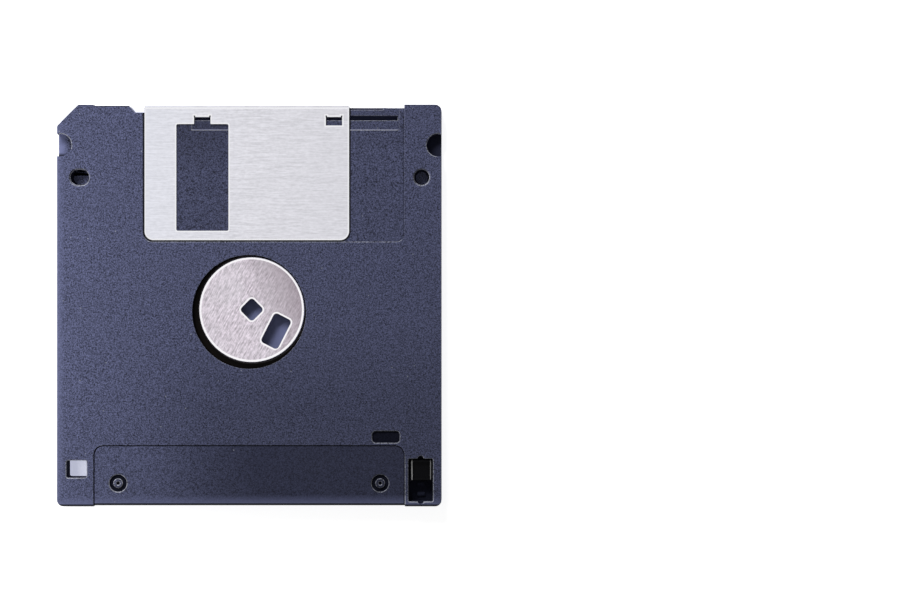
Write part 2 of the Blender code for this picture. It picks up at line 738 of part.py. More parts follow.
def build_lower_shell(rooms, slot, pocket):
    """The shell on the hub side, moulded in one piece."""
    shell = prism("lower_shell", case_outline(), SEAM + SEAM_GAP / 2, TOP, PARTS)
    round_rim(shell, (TOP - SEAM - SEAM_GAP / 2) / 2, EDGE_ROUND)
    opening = cylinder(
        "hub_opening", 0.0, DISC_Y, HUB_OPENING_RADIUS, INNER_HIGH - OVER, TOP + OVER, CUTTERS
    )
    recess = shutter_recess("shutter_recess_hub", TOP, SHUTTER_RECESS_DEPTH, 1)
    relief = block(
        "guide_relief", GUIDE_LEFT, GUIDE_RIGHT + RECESS_FRAME, FRONT - GUIDE_RELIEF_SETBACK,
        FRONT + OVER, RELIEF_FLOOR, TOP + OVER, CUTTERS,
    )
    guide = block(
        "guide_slot", GUIDE_LEFT, GUIDE_RIGHT, GUIDE_REAR, GUIDE_FRONT, SEAM - OVER, TOP + OVER, CUTTERS
    )
    arm_channel = block(
        "arm_channel", ARM_END - SHUTTER_END_GAP, ARM_END + SHUTTER_TRAVEL + SHUTTER_END_GAP,
        ARM_SHELF - ARM_CLEARANCE, ARM_FRONT + ARM_CLEARANCE,
        SEAM - OVER, RELIEF_FLOOR - ARM_ROOF_WALL, CUTTERS,
    )
    locating = locating_cutters()
    density = prism("density_hole_hub", density_outline(0.0), SEAM - OVER, TOP + OVER, CUTTERS)
    mark_right = RIGHT - MARK_FROM_SIDE
    mark_rear = REAR + MARK_FROM_REAR
    mark = prism(
        "mould_mark",
        rectangle(mark_right - MARK_WIDTH, mark_right, mark_rear, mark_rear + MARK_LENGTH, MARK_CORNER),
        TOP - MARK_SINK, TOP + OVER, CUTTERS,
    )
    flap = label_recess("label_recess_hub", TOP, LABEL_FLAP, 1)
    leaf = leaf_outline(LEAF_SEAT_MARGIN)
    leaf_seat = prism("leaf_seat", leaf, INNER_HIGH - OVER, leaf_top() + FILM_GAP, CUTTERS)
    front = front_cutter("front_step_hub", SEAM - OVER, TOP + OVER, False)
    rear = rear_cutter("rear_step_hub", SEAM - OVER, TOP + OVER)
    cut(shell, front, rear, *rooms, opening, slot, recess, relief, guide, arm_channel)
    cut(shell, *locating, *notch_cutters(), density, *pocket, mark, flap, leaf_seat)
    cut(shell, *peg_cutters(TOP, 1, "hub"))
    finish(shell, plain_material("case_plastic_hub_side", (0.075, 0.082, 0.125), 0.55, 0.0))


def locating_x(side):
    """Where the locating hole of one side stands; the pair lies a little off the case's middle."""
    return side * (RIGHT - LOCATING_FROM_SIDE) + LOCATING_SHIFT


def locating_cutters():
    """The round and the oval hole that a drive's pins go into, each with a shallow step round its
    rim, and the ledge across the oval one's floor."""
    y = FRONT - LOCATING_FROM_FRONT
    right = locating_x(1)
    left = locating_x(-1)
    wide = LOCATING_RADIUS + LOCATING_STEP
    step_floor = TOP - LOCATING_STEP_DEPTH
    chord = math.sqrt(LOCATING_RADIUS**2 - LOCATING_LEDGE**2)
    return [
        cylinder("locating_hole", right, y, LOCATING_RADIUS, LOCATING_FLOOR, TOP + OVER, CUTTERS),
        cylinder("locating_hole_step", right, y, wide, step_floor, TOP + OVER, CUTTERS),
        prism(
            "locating_oval", oval(left, y, LOCATING_OVAL_LENGTH, LOCATING_RADIUS),
            LOCATING_FLOOR, TOP + OVER, CUTTERS,
        ),
        prism(
            "locating_oval_step", oval(left, y, LOCATING_OVAL_LENGTH + 2 * LOCATING_STEP, wide),
            step_floor, TOP + OVER, CUTTERS,
        ),
        block(
            "locating_ledge", left - chord, left + chord, y + LOCATING_LEDGE, y + LOCATING_RADIUS - SEAM_GAP,
            LOCATING_FLOOR - LOCATING_LEDGE_DEPTH, SEAM, CUTTERS,
        ),
    ]


def notch_cutters():
    """The half-round notches in the sides, which stop above the label side's floor."""
    floor = TOP - NOTCH_DEPTH
    x = RIGHT - NOTCH_BITE + NOTCH_RADIUS
    y = FRONT - NOTCH_FROM_FRONT
    names = ((1, "right"), (-1, "left"))
    return [
        cylinder("side_notch_" + name, side * x, y, NOTCH_RADIUS, floor, TOP + OVER, CUTTERS)
        for side, name in names
    ]


def build_upper_shell(rooms, slot, pocket, holes):
    """The shell on the label side, moulded in one piece."""
    shell = prism("upper_shell", case_outline(), 0.0, SEAM - SEAM_GAP / 2, PARTS)
    round_rim(shell, -(SEAM - SEAM_GAP / 2) / 2, EDGE_ROUND)
    channel = block(
        "tab_channel", GUIDE_LEFT, GUIDE_RIGHT, GUIDE_REAR, GUIDE_FRONT, INNER_LOW, SEAM + OVER, CUTTERS
    )
    recess = shutter_recess("shutter_recess_label", 0.0, SHUTTER_RECESS_DEPTH, -1)
    label = label_recess("label_recess_label", 0.0, LABEL_LENGTH, -1)
    density = prism(
        "density_hole_label", density_outline(DENSITY_STEP), -OVER, SEAM + OVER, CUTTERS
    )
    hole = prism(
        "sense_hole",
        rectangle(
            SLIDER_X - SLIDER_WIDTH / 2 + SENSE_HOLE_MARGIN,
            SLIDER_X + SLIDER_WIDTH / 2 - SENSE_HOLE_MARGIN,
            SLIDER_Y - SLIDER_LENGTH / 2 + 2 * SENSE_HOLE_MARGIN,
            SLIDER_Y + SLIDER_LENGTH / 2 - 2 * SENSE_HOLE_MARGIN, SENSE_HOLE_CORNER,
        ),
        -OVER, INNER_LOW + OVER, CUTTERS,
    )
    front = front_cutter("front_step_label", -OVER, SEAM + OVER, True)
    rear = rear_cutter("rear_step_label", -OVER, SEAM + OVER)
    cut(shell, front, rear, *rooms, channel, slot, recess, *holes, density, *pocket, hole, label)
    cut(shell, *arrow_cutters())
    cut(shell, *peg_cutters(0.0, -1, "label"))
    finish(shell, plain_material("case_plastic_label_side", (0.075, 0.082, 0.125), 0.55, 0.0))


def arrow_cutters():
    """The moulded arrow that points to the end that goes in first: a head and a shaft."""
    x = RIGHT - ARROW_FROM_SIDE
    tip = FRONT - ARROW_FROM_FRONT
    base = tip - ARROW_HEAD_LENGTH
    head = ARROW_HEAD_WIDTH / 2
    shaft = ARROW_SHAFT_WIDTH / 2
    return [
        prism("arrow_head", [(x, tip), (x - head, base), (x + head, base)], -OVER, MARK_DEPTH, CUTTERS),
        block(
            "arrow_shaft", x - shaft, x + shaft, base - ARROW_SHAFT_LENGTH, base + shaft,
            -OVER, MARK_DEPTH, CUTTERS,
        ),
    ]


def leaf_outline(margin):
    """The leaf under the hub side's liner, left of the head slot, grown by a margin."""
    right = -HEAD_SLOT_WIDTH / 2 - LEAF_SETBACK
    front = HEAD_SLOT_FRONT - LEAF_SETBACK
    return rectangle(
        right - LEAF_WIDTH - margin, right + margin, front - LEAF_LENGTH - margin, front + margin
    )


def leaf_top():
    """Height of the leaf's glued face."""
    return INNER_HIGH + LEAF_THICKNESS


def build_leaf():
    """The thin plastic leaf that lies under the liner beside the head slot."""
    leaf = prism("lifter_leaf", leaf_outline(0.0), INNER_HIGH, leaf_top(), PARTS)
    finish(leaf, plain_material("leaf_film", (0.75, 0.76, 0.78), 0.35, 0.0))


def build_liner(name, z_low, colour):
    """A ring of non-woven cloth with a gap at the head slot."""
    liner = turned(
        name,
        [
            (LINER_BORE, z_low + LINER_THICKNESS),
            (LINER_RADIUS, z_low + LINER_THICKNESS),
            (LINER_RADIUS, z_low),
            (LINER_BORE, z_low),
        ],
        0.0, DISC_Y, PARTS, closed=True,
    )
    half = HEAD_SLOT_WIDTH / 2 + LINER_SLOT_MARGIN
    rear = HEAD_SLOT_REAR - LINER_SLOT_MARGIN
    gap = block(
        name + "_gap", -half, half, rear, FRONT, z_low - OVER, z_low + LINER_THICKNESS + OVER, CUTTERS
    )
    cut(liner, gap)
    finish(liner, plain_material(name + "_cloth", colour, 0.9, 0.0))


def build_hub(axis):
    """The pressed steel hub: a shallow cup with a flange, a spindle hole and a drive slot."""
    face = TOP - HUB_FACE_SINK
    low = FLANGE_LOW
    outer_bend = arc(HUB_RADIUS - HUB_BEND, face - HUB_BEND, HUB_BEND, math.pi / 2, 0.0)
    inner = HUB_RADIUS - HUB_SHEET
    inner_bend = HUB_BEND - HUB_SHEET
    profile = [(0.0, face), *outer_bend]
    profile += [(HUB_RADIUS, low + HUB_SHEET), (FLANGE_RADIUS, low + HUB_SHEET), (FLANGE_RADIUS, low)]
    profile += [(inner, low), (inner, face - HUB_SHEET - inner_bend)]
    profile += [(inner - inner_bend, face - HUB_SHEET), (0.0, face - HUB_SHEET)]
    hub = turned("hub", profile, HUB_X, HUB_Y, PARTS)
    half = SPINDLE_HOLE / 2
    square = rectangle(-half, half, -half, half, SPINDLE_HOLE_RADIUS)
    spindle = prism(
        "spindle_hole", turned_about(square, HUB_X, HUB_Y, math.pi / 4), SEAM, TOP, CUTTERS
    )
    long = DRIVE_SLOT_LENGTH / 2
    wide = DRIVE_SLOT_WIDTH / 2
    slot_x = HUB_X + DRIVE_SLOT_OUT * math.cos(DRIVE_SLOT_BEARING)
    slot_y = HUB_Y + DRIVE_SLOT_OUT * math.sin(DRIVE_SLOT_BEARING)
    slot_outline = rectangle(-long, long, -wide, wide, DRIVE_SLOT_CORNER)
    slot = prism(
        "drive_slot", turned_about(slot_outline, slot_x, slot_y, DRIVE_SLOT_TURN), SEAM, TOP, CUTTERS
    )
    cut(hub, spindle, slot)
    finish(hub, plain_material("hub_steel", (0.62, 0.56, 0.63), 0.3, 1.0))
    ride_on(hub, axis)


def ride_on(thing, carrier):
    """Parent a piece to an empty and leave it where it is."""
    thing.parent = carrier
    thing.matrix_parent_inverse = carrier.matrix_world.inverted()


def build_disc_ring(name, inner, outer, z_low, thickness, axis):
    """A flat ring that turns with the hub."""
    ring = turned(
        name,
        [(inner, z_low + thickness), (outer, z_low + thickness), (outer, z_low), (inner, z_low)],
        HUB_X, HUB_Y, PARTS, closed=True,
    )
    ride_on(ring, axis)
    return ring


def sheet_strip(name, path, low, high, plane, thickness, collection):
    """A bent strip of sheet: a path in one plane carried along the third axis, then thickened."""
    mesh = bpy.data.meshes.new(name)
    bm = bmesh.new()
    rows = []
    for level in (low, high):
        if plane == "YZ":
            rows.append([bm.verts.new((level, a, b)) for a, b in path])
        else:
            rows.append([bm.verts.new((a, b, level)) for a, b in path])
    for i in range(len(path) - 1):
        bm.faces.new((rows[0][i], rows[0][i + 1], rows[1][i + 1], rows[1][i]))
    bmesh.ops.recalc_face_normals(bm, faces=bm.faces)
    bm.to_mesh(mesh)
    bm.free()
    strip = add_object(name, mesh, collection)
    solid = strip.modifiers.new("thickness", "SOLIDIFY")
    solid.thickness = thickness
    solid.offset = 0.0
    solid.use_even_offset = True
    return strip


def build_shutter():
    """The shutter: one sheet folded round the front edge, with a window through both its sides,
    two tabs pressed inward and a narrow arm along the front edge."""
    mid = SHEET / 2
    hub_plane = TOP - PLATE_GAP - mid
    label_plane = PLATE_GAP + mid
    web_plane = WEB_FRONT - mid
    fold = SHUTTER_FOLD
    path = rounded(
        [
            (SHUTTER_REAR, hub_plane, 0.0),
            (web_plane, hub_plane, fold),
            (web_plane, label_plane, fold),
            (SHUTTER_REAR, label_plane, 0.0),
        ]
    )
    shutter = sheet_strip("shutter", path, SHUTTER_LEFT, SHUTTER_RIGHT, "YZ", SHEET, PARTS)
    window = prism(
        "shutter_window",
        rectangle(WINDOW_LEFT, WINDOW_RIGHT, WINDOW_REAR, WINDOW_FRONT, WINDOW_CORNER),
        -OVER, TOP + OVER, CUTTERS,
    )
    cut(shutter, window)
    for side, edge in (("left", SHUTTER_LEFT), ("right", SHUTTER_RIGHT)):
        cut(shutter, corner_cutter("shutter_corner_" + side, edge, 1 if side == "right" else -1))
    tab_plane = TAB_FRONT - mid
    tab_drop = hub_plane - GUIDE_TAB_LENGTH
    root = tab_plane + TAB_ROOT
    for name, left in (("first", FIRST_TAB), ("second", SECOND_TAB)):
        right = left + GUIDE_TAB_WIDTH
        hole = block(
            f"tab_hole_{name}", left, right, tab_plane - GUIDE_TAB_LENGTH, tab_plane,
            SEAM, TOP + OVER, CUTTERS,
        )
        tab_path = rounded(
            [(root, hub_plane, 0.0), (tab_plane, hub_plane, TAB_BEND), (tab_plane, tab_drop, 0.0)]
        )
        tab = sheet_strip(
            f"guide_tab_{name}", tab_path, left + FILM_GAP, right - FILM_GAP, "YZ",
            SHEET - FILM_GAP, CUTTERS,
        )
        cut(shutter, hole, *tab_reliefs(name, left, right, tab_plane))
        join(shutter, tab)
    arm_plane = ARM_FRONT - mid
    arm_path = [
        (SHUTTER_RIGHT - ARM_ROOT, web_plane),
        (SHUTTER_RIGHT - ARM_SETBACK, web_plane),
        (SHUTTER_RIGHT + SHEET, arm_plane),
        (ARM_END, arm_plane),
    ]
    arm = sheet_strip(
        "shutter_arm", arm_path, ARM_LOW, ARM_LOW + ARM_HEIGHT, "XY", SHEET - FILM_GAP, CUTTERS
    )
    join(shutter, arm)
    finish(shutter, plain_material("shutter_metal", (0.62, 0.62, 0.68), 0.35, 1.0))


def tab_reliefs(name, left, right, front):
    """The narrow cuts at both ends of a tab's fold, which let the sheet bend without tearing."""
    return [
        block(
            f"tab_relief_{name}_{number}", x, x + TAB_RELIEF_WIDTH, front - OVER,
            front + TAB_RELIEF_LENGTH, SEAM, TOP + OVER, CUTTERS,
        )
        for number, x in enumerate((left, right - TAB_RELIEF_WIDTH))
    ]


def corner_cutter(name, edge, side):
    """What is taken off to round one rear corner of the shutter's two sides."""
    reach = SHUTTER_CORNER
    x = edge - side * reach
    y = SHUTTER_REAR + reach
    start = -math.pi / 2
    end = 0.0 if side == 1 else -math.pi
    outline = arc(x, y, reach, start, end)
    beyond = edge + side * OVER
    outline += [(beyond, y), (beyond, SHUTTER_REAR - OVER), (x, SHUTTER_REAR - OVER)]
    return prism(name, outline, -OVER, TOP + OVER, CUTTERS)


def build_spring():
    """The wire spring: a small coil between two long legs, one held in the corner of the case and
    one on the shutter's second tab."""
    anchor = Vector((RIGHT - SIDE_WALL - SPRING_ANCHOR_INSET, TAB_FRONT - SHEET / 2, 0.0))
    tip = Vector((SECOND_TAB + GUIDE_TAB_WIDTH + SPRING_TAB_GAP + WIRE / 2, TAB_FRONT - SHEET / 2, 0.0))
    middle = (anchor + tip) / 2
    half = (anchor - tip).length / 2
    leg = half * SPRING_LEG_SPREAD
    drop = math.sqrt(leg**2 - half**2)
    apex = middle + Vector((0.0, -drop, 0.0))
    lean = math.atan2(drop, half) + math.asin(SPRING_COIL_RADIUS / leg)
    sweep = 2 * math.pi * SPRING_TURNS + 2 * lean
    begin = -lean - math.pi / 2
    rise = SPRING_PITCH * SPRING_TURNS
    base = SPRING_HEIGHT - rise / 2
    count = round(sweep / SPRING_STEP)
    points = [tip + Vector((0.0, 0.0, base))]
    for i in range(count + 1):
        angle = begin + sweep * i / count
        offset = Vector((math.cos(angle), math.sin(angle), 0.0)) * SPRING_COIL_RADIUS
        points.append(Vector((apex.x, apex.y, base + rise * i / count)) + offset)
    points.append(anchor + Vector((0.0, 0.0, base + rise)))
    curve = bpy.data.curves.new("shutter_spring", "CURVE")
    curve.dimensions = "3D"
    curve.bevel_depth = WIRE / 2
    curve.bevel_resolution = 2
    curve.use_fill_caps = True
    spline = curve.splines.new("POLY")
    spline.points.add(len(points) - 1)
    for knot, point in zip(spline.points, points):
        knot.co = (*point, 1.0)
    spring = add_object("shutter_spring", curve, PARTS)
    finish(spring, plain_material("spring_wire", (0.55, 0.55, 0.56), 0.3, 1.0))


def build_slider():
    """The write-protect slider, a small block with a finger dish between two ridges."""
    low = INNER_LOW + SLIDER_FLOOR_GAP
    high = TOP - SLIDER_SINK
    half_x = SLIDER_WIDTH / 2
    half_y = SLIDER_LENGTH / 2
    slider = prism(
        "write_protect_tab", rectangle(-half_x, half_x, -half_y, half_y, SLIDER_CORNER), low, high, PARTS,
        (SLIDER_X, SLIDER_Y),
    )
    round_rim(slider, (high - low) / 2, SLIDER_EDGE)
    dish = block(
        "finger_dish", SLIDER_X - half_x + SLIDER_RIDGE, SLIDER_X + half_x - SLIDER_RIDGE,
        SLIDER_Y - half_y + SLIDER_RIDGE, SLIDER_Y + half_y - SLIDER_RIDGE,
        high - SLIDER_DISH_DEPTH, TOP, CUTTERS,
    )
    half_groove = DETENT_WIDTH / 2 + DETENT_CLEARANCE
    groove = block(
        "detent_groove", SLIDER_X - half_groove, SLIDER_X + half_groove,
        SLIDER_Y - half_y - OVER, SLIDER_Y + half_y + OVER,
        low - OVER, INNER_LOW + DETENT_HEIGHT + DETENT_CLEARANCE, CUTTERS,
    )
    cut(slider, dish, groove)
    finish(slider, plain_material("slider_plastic", (0.01, 0.01, 0.013), 0.45, 0.0))


def build_disc():
    """The pieces that turn together, on an empty that stands on their axis."""
    axis = bpy.data.objects.new("disc_axis", None)
    axis.location = (HUB_X, HUB_Y, 0.0)
    PARTS.objects.link(axis)
    bpy.context.view_layer.update()
    build_hub(axis)
    bond = build_disc_ring(
        "bonding_ring", MEDIUM_BORE + FILM_GAP, FLANGE_RADIUS - FILM_GAP, BOND_LOW, BOND_THICKNESS, axis
    )
    finish(bond, plain_material("bond_film", (0.8, 0.78, 0.7), 0.6, 0.0))
    medium = build_disc_ring(
        "magnetic_disc", MEDIUM_BORE, MEDIUM_RADIUS, MEDIUM_LOW, MEDIUM_THICKNESS, axis
    )
    finish(medium, plain_material("medium_coating", (0.035, 0.022, 0.016), 0.3, 0.0))


def build_case():
    """Both shells and what is fixed inside them."""
    rooms = inner_cutters()
    slot = head_slot()
    pocket = pocket_cutters()
    build_lower_shell(rooms, slot, pocket)
    shared = ("locating_hole", "locating_oval", "locating_ledge", "side_notch_right", "side_notch_left")
    build_upper_shell(rooms, slot, pocket, [bpy.data.objects[name] for name in shared])
    build_leaf()
    high = INNER_HIGH - FILM_GAP - LINER_THICKNESS
    build_liner("lower_liner", high, (0.8, 0.8, 0.8))
    build_liner("upper_liner", INNER_LOW + FILM_GAP, (0.8, 0.8, 0.8))


clear_scene()
PARTS = new_collection("floppy_disk")
CUTTERS = new_collection("cutters")
build_case()
build_disc()
build_shutter()
build_spring()
build_slider()
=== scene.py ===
"""Dresses a packed 90 mm disk cartridge: finishes, fine edges, a smooth spring, and a white stage.

The file is laid out as an add-on and run as a script. Lengths are in metres, in the packed part's
own frame: +Z out of the hub side, +Y towards the shutter end, origin under the middle of the case.
"""

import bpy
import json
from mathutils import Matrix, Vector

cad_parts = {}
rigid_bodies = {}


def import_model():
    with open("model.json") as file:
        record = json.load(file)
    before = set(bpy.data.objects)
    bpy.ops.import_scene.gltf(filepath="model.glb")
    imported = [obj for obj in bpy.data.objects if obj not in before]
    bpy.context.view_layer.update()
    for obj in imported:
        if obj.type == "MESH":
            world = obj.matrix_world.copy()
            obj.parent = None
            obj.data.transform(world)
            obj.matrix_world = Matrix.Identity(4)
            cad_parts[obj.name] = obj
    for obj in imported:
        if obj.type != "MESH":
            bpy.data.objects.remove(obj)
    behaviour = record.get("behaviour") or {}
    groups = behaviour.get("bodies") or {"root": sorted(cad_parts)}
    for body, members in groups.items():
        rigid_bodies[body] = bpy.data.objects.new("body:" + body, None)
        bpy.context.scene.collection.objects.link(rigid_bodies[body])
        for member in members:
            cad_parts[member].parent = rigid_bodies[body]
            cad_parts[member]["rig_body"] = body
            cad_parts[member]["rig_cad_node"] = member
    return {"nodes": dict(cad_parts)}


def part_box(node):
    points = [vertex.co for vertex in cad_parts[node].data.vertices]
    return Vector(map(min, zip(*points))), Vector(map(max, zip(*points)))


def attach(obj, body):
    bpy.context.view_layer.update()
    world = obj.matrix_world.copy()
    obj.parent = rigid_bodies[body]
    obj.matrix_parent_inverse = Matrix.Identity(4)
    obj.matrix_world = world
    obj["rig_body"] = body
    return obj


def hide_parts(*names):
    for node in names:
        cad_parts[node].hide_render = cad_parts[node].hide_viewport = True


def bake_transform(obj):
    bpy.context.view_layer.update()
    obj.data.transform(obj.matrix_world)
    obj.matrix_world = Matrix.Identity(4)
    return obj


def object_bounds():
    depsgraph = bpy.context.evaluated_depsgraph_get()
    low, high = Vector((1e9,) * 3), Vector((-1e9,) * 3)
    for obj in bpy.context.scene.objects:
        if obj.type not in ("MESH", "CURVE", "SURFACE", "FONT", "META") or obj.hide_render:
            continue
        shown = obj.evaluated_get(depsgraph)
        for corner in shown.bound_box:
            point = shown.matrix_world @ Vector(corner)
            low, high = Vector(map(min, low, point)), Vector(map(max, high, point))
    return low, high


bl_info = {
    "name": "Disk Cartridge Finishes",
    "version": (1, 0, 0),
    "blender": (4, 5, 0),
    "location": "View3D > Sidebar > Cartridge",
    "description": "Dresses a 90 mm disk cartridge and sets up its stage",
    "category": "Object",
}

import functools
import json
import math

import bmesh
import bpy
import numpy as np
from bpy.props import FloatProperty, FloatVectorProperty, PointerProperty
from mathutils import Vector

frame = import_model()
CAD_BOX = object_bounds()

MM = 0.001
HALF_WIDTH, HALF_LENGTH, TOP = CAD_BOX[1]
SEAM = TOP / 2

# How deep floors lie below the outer faces, and how exact a level is
LABEL_DEPTH = 0.2 * MM
ARROW_DEPTH = 0.15 * MM
RECESS_DEPTH = 0.3 * MM
LEVEL_ERROR = 0.03 * MM

# The slide recess and the relief in it: their middle height from the seam, and half their span
RECESS_LEVEL = SEAM - RECESS_DEPTH - 0.06 * MM
RECESS_SPAN = 0.09 * MM

# A shell's faces count as deep below DEEP_FROM, and behind MARK_ZONE below MARK_FLOOR
DEEP_FROM = 0.55 * MM
MARK_FLOOR = 0.35 * MM
MARK_ZONE = -25.0 * MM

# How far in the sides, the cut corner and the pin holes reach, and where the pin holes and the
# left notch start
SIDE_ZONE = 0.6 * MM
CORNER_ZONE = 3.5 * MM
PIN_ZONE = 8.0 * MM
PIN_REAR = 25.0 * MM
NOTCH_ZONE = 34.0 * MM

# Painted shade lines at the foot of the label's steps and round the floors of the pin holes
LABEL_LINE = 0.26 * MM
PIN_RING = 0.35 * MM

# How far from the hub's axis its holes show the case's inside, which gets painted light, and how
# far its opening reaches
SEAT_ZONE = 12.0 * MM
HUB_ZONE = 15.0 * MM

# The left notch: how far it reaches in, its middle and its length along the side
NOTCH_WIDTH = 4.2 * MM
NOTCH_MIDDLE = 37.5 * MM
NOTCH_LENGTH = 5.6 * MM

# Shares of the full rounding: at walls whose line is drawn, round the hub, at steps lower than
# LOW_STEP, and at steps that face the front or lie halfway down
DRAWN_ROUND = 0.1
HUB_ROUND = 0.15
STEP_ROUND = 0.2
HALF_ROUND = 0.5
LOW_STEP = 0.35 * MM

# Flat bands with a painted highlight: round the hub and wider round its holes, and round the
# shutter but for its fold
HUB_BAND = 0.24 * MM
HUB_HOLE_BAND = 0.16 * MM
HUB_HOLE_ZONE = 11.0 * MM
SHEET_BAND = 0.34 * MM
FOLD_ZONE = 0.7 * MM

# Where the bends of the shutter's tabs lie, which aren't rounded further
TAB_BEND = 44.4 * MM
TAB_BEND_ZONE = 0.3 * MM

# The hub's pressed rim, how level and how deep its faces are, and how deep the hub is shaded
HUB_CURVE_NORMAL = 0.2
HUB_CURVE_DEPTH = 1.0 * MM
HUB_SHADE_DEPTH = 0.3 * MM

# The slider's ridges, from its middle outwards: the painted highlight along each and its strength
RIDGE_ZONE = 1.0 * MM
RIDGE_HIGHLIGHTS = ((-2.05 * MM, 0.50), (2.32 * MM, 0.34))
RIDGE_HALF_WIDTH = 0.11 * MM
RIDGE_DEPTH = 0.12 * MM
RIDGE_ROUNDING = 0.14 * MM

# The shutter's face, and the painted shadow line beside it: where it fades and how far in it starts
SHUTTER_WIDTH = 47.9 * MM
SHUTTER_CORNER = 2.1 * MM
SHADOW_LINE_WIDTH = 0.44 * MM
SHADOW_LINE_FADE = (0.7 * SHADOW_LINE_WIDTH, SHADOW_LINE_WIDTH, 0.93, 0.0)
SHADOW_LINE_INSIDE = -0.1 * SHADOW_LINE_WIDTH

# The slide recess: its right wall, the painted shade line at that wall's foot, and what lies behind
# the recess
RECESS_RIGHT = 36.2 * MM
RECESS_FOOT = 0.24 * MM
RECESS_FOOT_SHARE = 0.5
RECESS_REAR_ZONE = 10.0 * MM

# The rear edge's rim of painted shade, which is wider by LABEL_WRAP across the label's floor
REAR_RIM = 0.50 * MM
REAR_RIM_DEPTH = 0.5 * MM
REAR_RIM_SHARE = 0.93
LABEL_WRAP = 0.25 * MM
LABEL_HALF_WIDTH = 36.4 * MM

# The front edge: how far the middle part stands back, the cut corner, and the rim of painted shade
# along both
LAND_STEP = 0.3 * MM
KEY_CUT = 5.0 * MM
FRONT_RIM = 0.22 * MM
FRONT_RIM_DEPTH = 0.1 * MM
FRONT_RIM_SHARE = 0.6

# The painted highlight along the edge of the shallow relief behind the guide slot, and the slot's
# rear end
RELIEF_EDGE = 41.1 * MM
RELIEF_LINE = 0.24 * MM
RELIEF_LEFT = -13.5 * MM
RELIEF_RIGHT = 34.8 * MM
RELIEF_SHARE = 0.45
GUIDE_REAR = 42.6 * MM

# Tones drawn on the surfaces, nearly all painted light or shade: where each gradient starts and
# ends, and its share at both places
# Painted shade on the label's floor, growing to the right on the hub side, and its share on the
# label side
LABEL_SHADE_RAMP = (-19.0 * MM, 2.0 * MM, 0.0, 0.54)
LABEL_SIDE_SHARE = 0.22
# Painted shade in the slide recess
RECESS_ACROSS = (-6.0 * MM, 24.0 * MM, 0.28, 0.08)
RECESS_ALONG = (30.0 * MM, 42.0 * MM, 1.0, 1.9)
# Painted shade over the lower middle of the hub side
LOWER_SHADE_ACROSS = (-26.0 * MM, -10.0 * MM, 0.0, 1.0)
LOWER_SHADE_ALONG = (-4.0 * MM, -24.0 * MM, 0.0, 0.255)
# A painted sheen along the rear edge, and painted highlights along the left and right sides
REAR_EDGE_SHEEN = (-44.2 * MM, -46.3 * MM, 0.0, 0.78)
LEFT_SIDE_HIGHLIGHT = (-HALF_WIDTH + 2.0 * MM, -HALF_WIDTH + 0.2 * MM, 0.0, 0.62)
RIGHT_SIDE_HIGHLIGHT = (HALF_WIDTH - 0.35 * MM, HALF_WIDTH - 0.2 * MM, 0.0, 0.35)
# Painted light on the left notch's floor, and painted shade at the foot of its walls
NOTCH_LIT = (-HALF_WIDTH + 0.8 * MM, -HALF_WIDTH + 2.2 * MM, 0.8, 0.0)
NOTCH_FOOT = (-HALF_WIDTH + 2.4 * MM, -HALF_WIDTH + 3.1 * MM, 0.0, 0.85)
NOTCH_BELOW = (NOTCH_MIDDLE - 1.6 * MM, NOTCH_MIDDLE - 2.2 * MM, 0.0, 0.85)
# Painted shade that grows with depth
DEEP_SHADE_RANGE = (SEAM - 0.6 * MM, SEAM - 1.2 * MM, 0.0, 1.0)
# A painted reflection at the shutter's left, and painted shade at its right
SHEET_REFLECTION_RAMP = (-24.0 * MM, 0.0, 0.35, 0.0)
SHEET_SHADE_RAMP = (0.0, 24.0 * MM, 0.0, 0.30)
# Painted shade on the hub, growing to the right along a slant
STEEL_SHADE_RAMP = (0.0, 12.0 * MM, 0.0, 0.57)
HUB_SLANT = 0.35

# How much darker and lighter than its colour a surface's pattern makes it
CASE_SPECKLE = (0.10, 2.5)
# In deep places the whole range lies far below the colour: painted shade
DEEP_SHADE_SPECKLE = (0.08, 0.24)
SHEET_STREAK = (0.83, 1.15)
EDGE_STREAK = (0.97, 1.03)
HUB_STREAK = (0.52, 1.48)
SLIDER_SPECKLE = (0.7, 1.3)
MEDIUM_RINGS = (0.8, 1.25)
FILM_PATCHES = (0.92, 1.05)

# How much lighter or darker than their colour single places are: all but POLISHED are painted light
# or shade
POLISHED = 1.1
# A painted sheen and painted highlights along the case's edges
HIGHLIGHT_GAIN = 2.2
# Painted light on the left notch's floor
NOTCH_LIGHT = 3.0
# A painted highlight along the relief's edge
RELIEF_LIGHT = 4.0
# Painted shade in deep places, less in the guide slot, and painted light on the inside under the
# hub
DEEPER_SHADE = 0.4
GUIDE_LIGHT = 2.2
SEAT_LIGHT = 3.6
# Painted shade at the shutter's right
SHEET_SHADE_GAIN = 0.84

# Plain colours, in linear values
BLACK = (0.0, 0.0, 0.0, 1.0)
WHITE = (1.0, 1.0, 1.0, 1.0)
# The colour the label's floors darken to, on the hub side as painted shade
LABEL_TONE = (0.0, 0.001, 0.014, 1.0)
DUST_TONE = (0.45, 0.47, 0.52, 1.0)
# The colour of the painted reflection on the shutter
REFLECTION_TONE = (0.80, 0.83, 0.92, 1.0)
HUB_POLISHED = (0.682, 0.66, 0.704, 1.0)
# The colour of the painted shade on the hub's face
STEEL_SHADE_TONE = (0.20, 0.15, 0.18, 1.0)
# The colour of the painted shade below the hub's face
HUB_SHADE = (0.05, 0.045, 0.05)
SLIDER_TONE = (0.004, 0.004, 0.005)
BOND_TONE = (0.80, 0.77, 0.68)
LEAF_TONE = (0.74, 0.75, 0.78)
CLOTH_TONES = ((0.62, 0.62, 0.62, 1.0), (0.86, 0.86, 0.85, 1.0))
WIRE_TONES = ((0.42, 0.42, 0.44, 1.0), (0.60, 0.60, 0.62, 1.0))

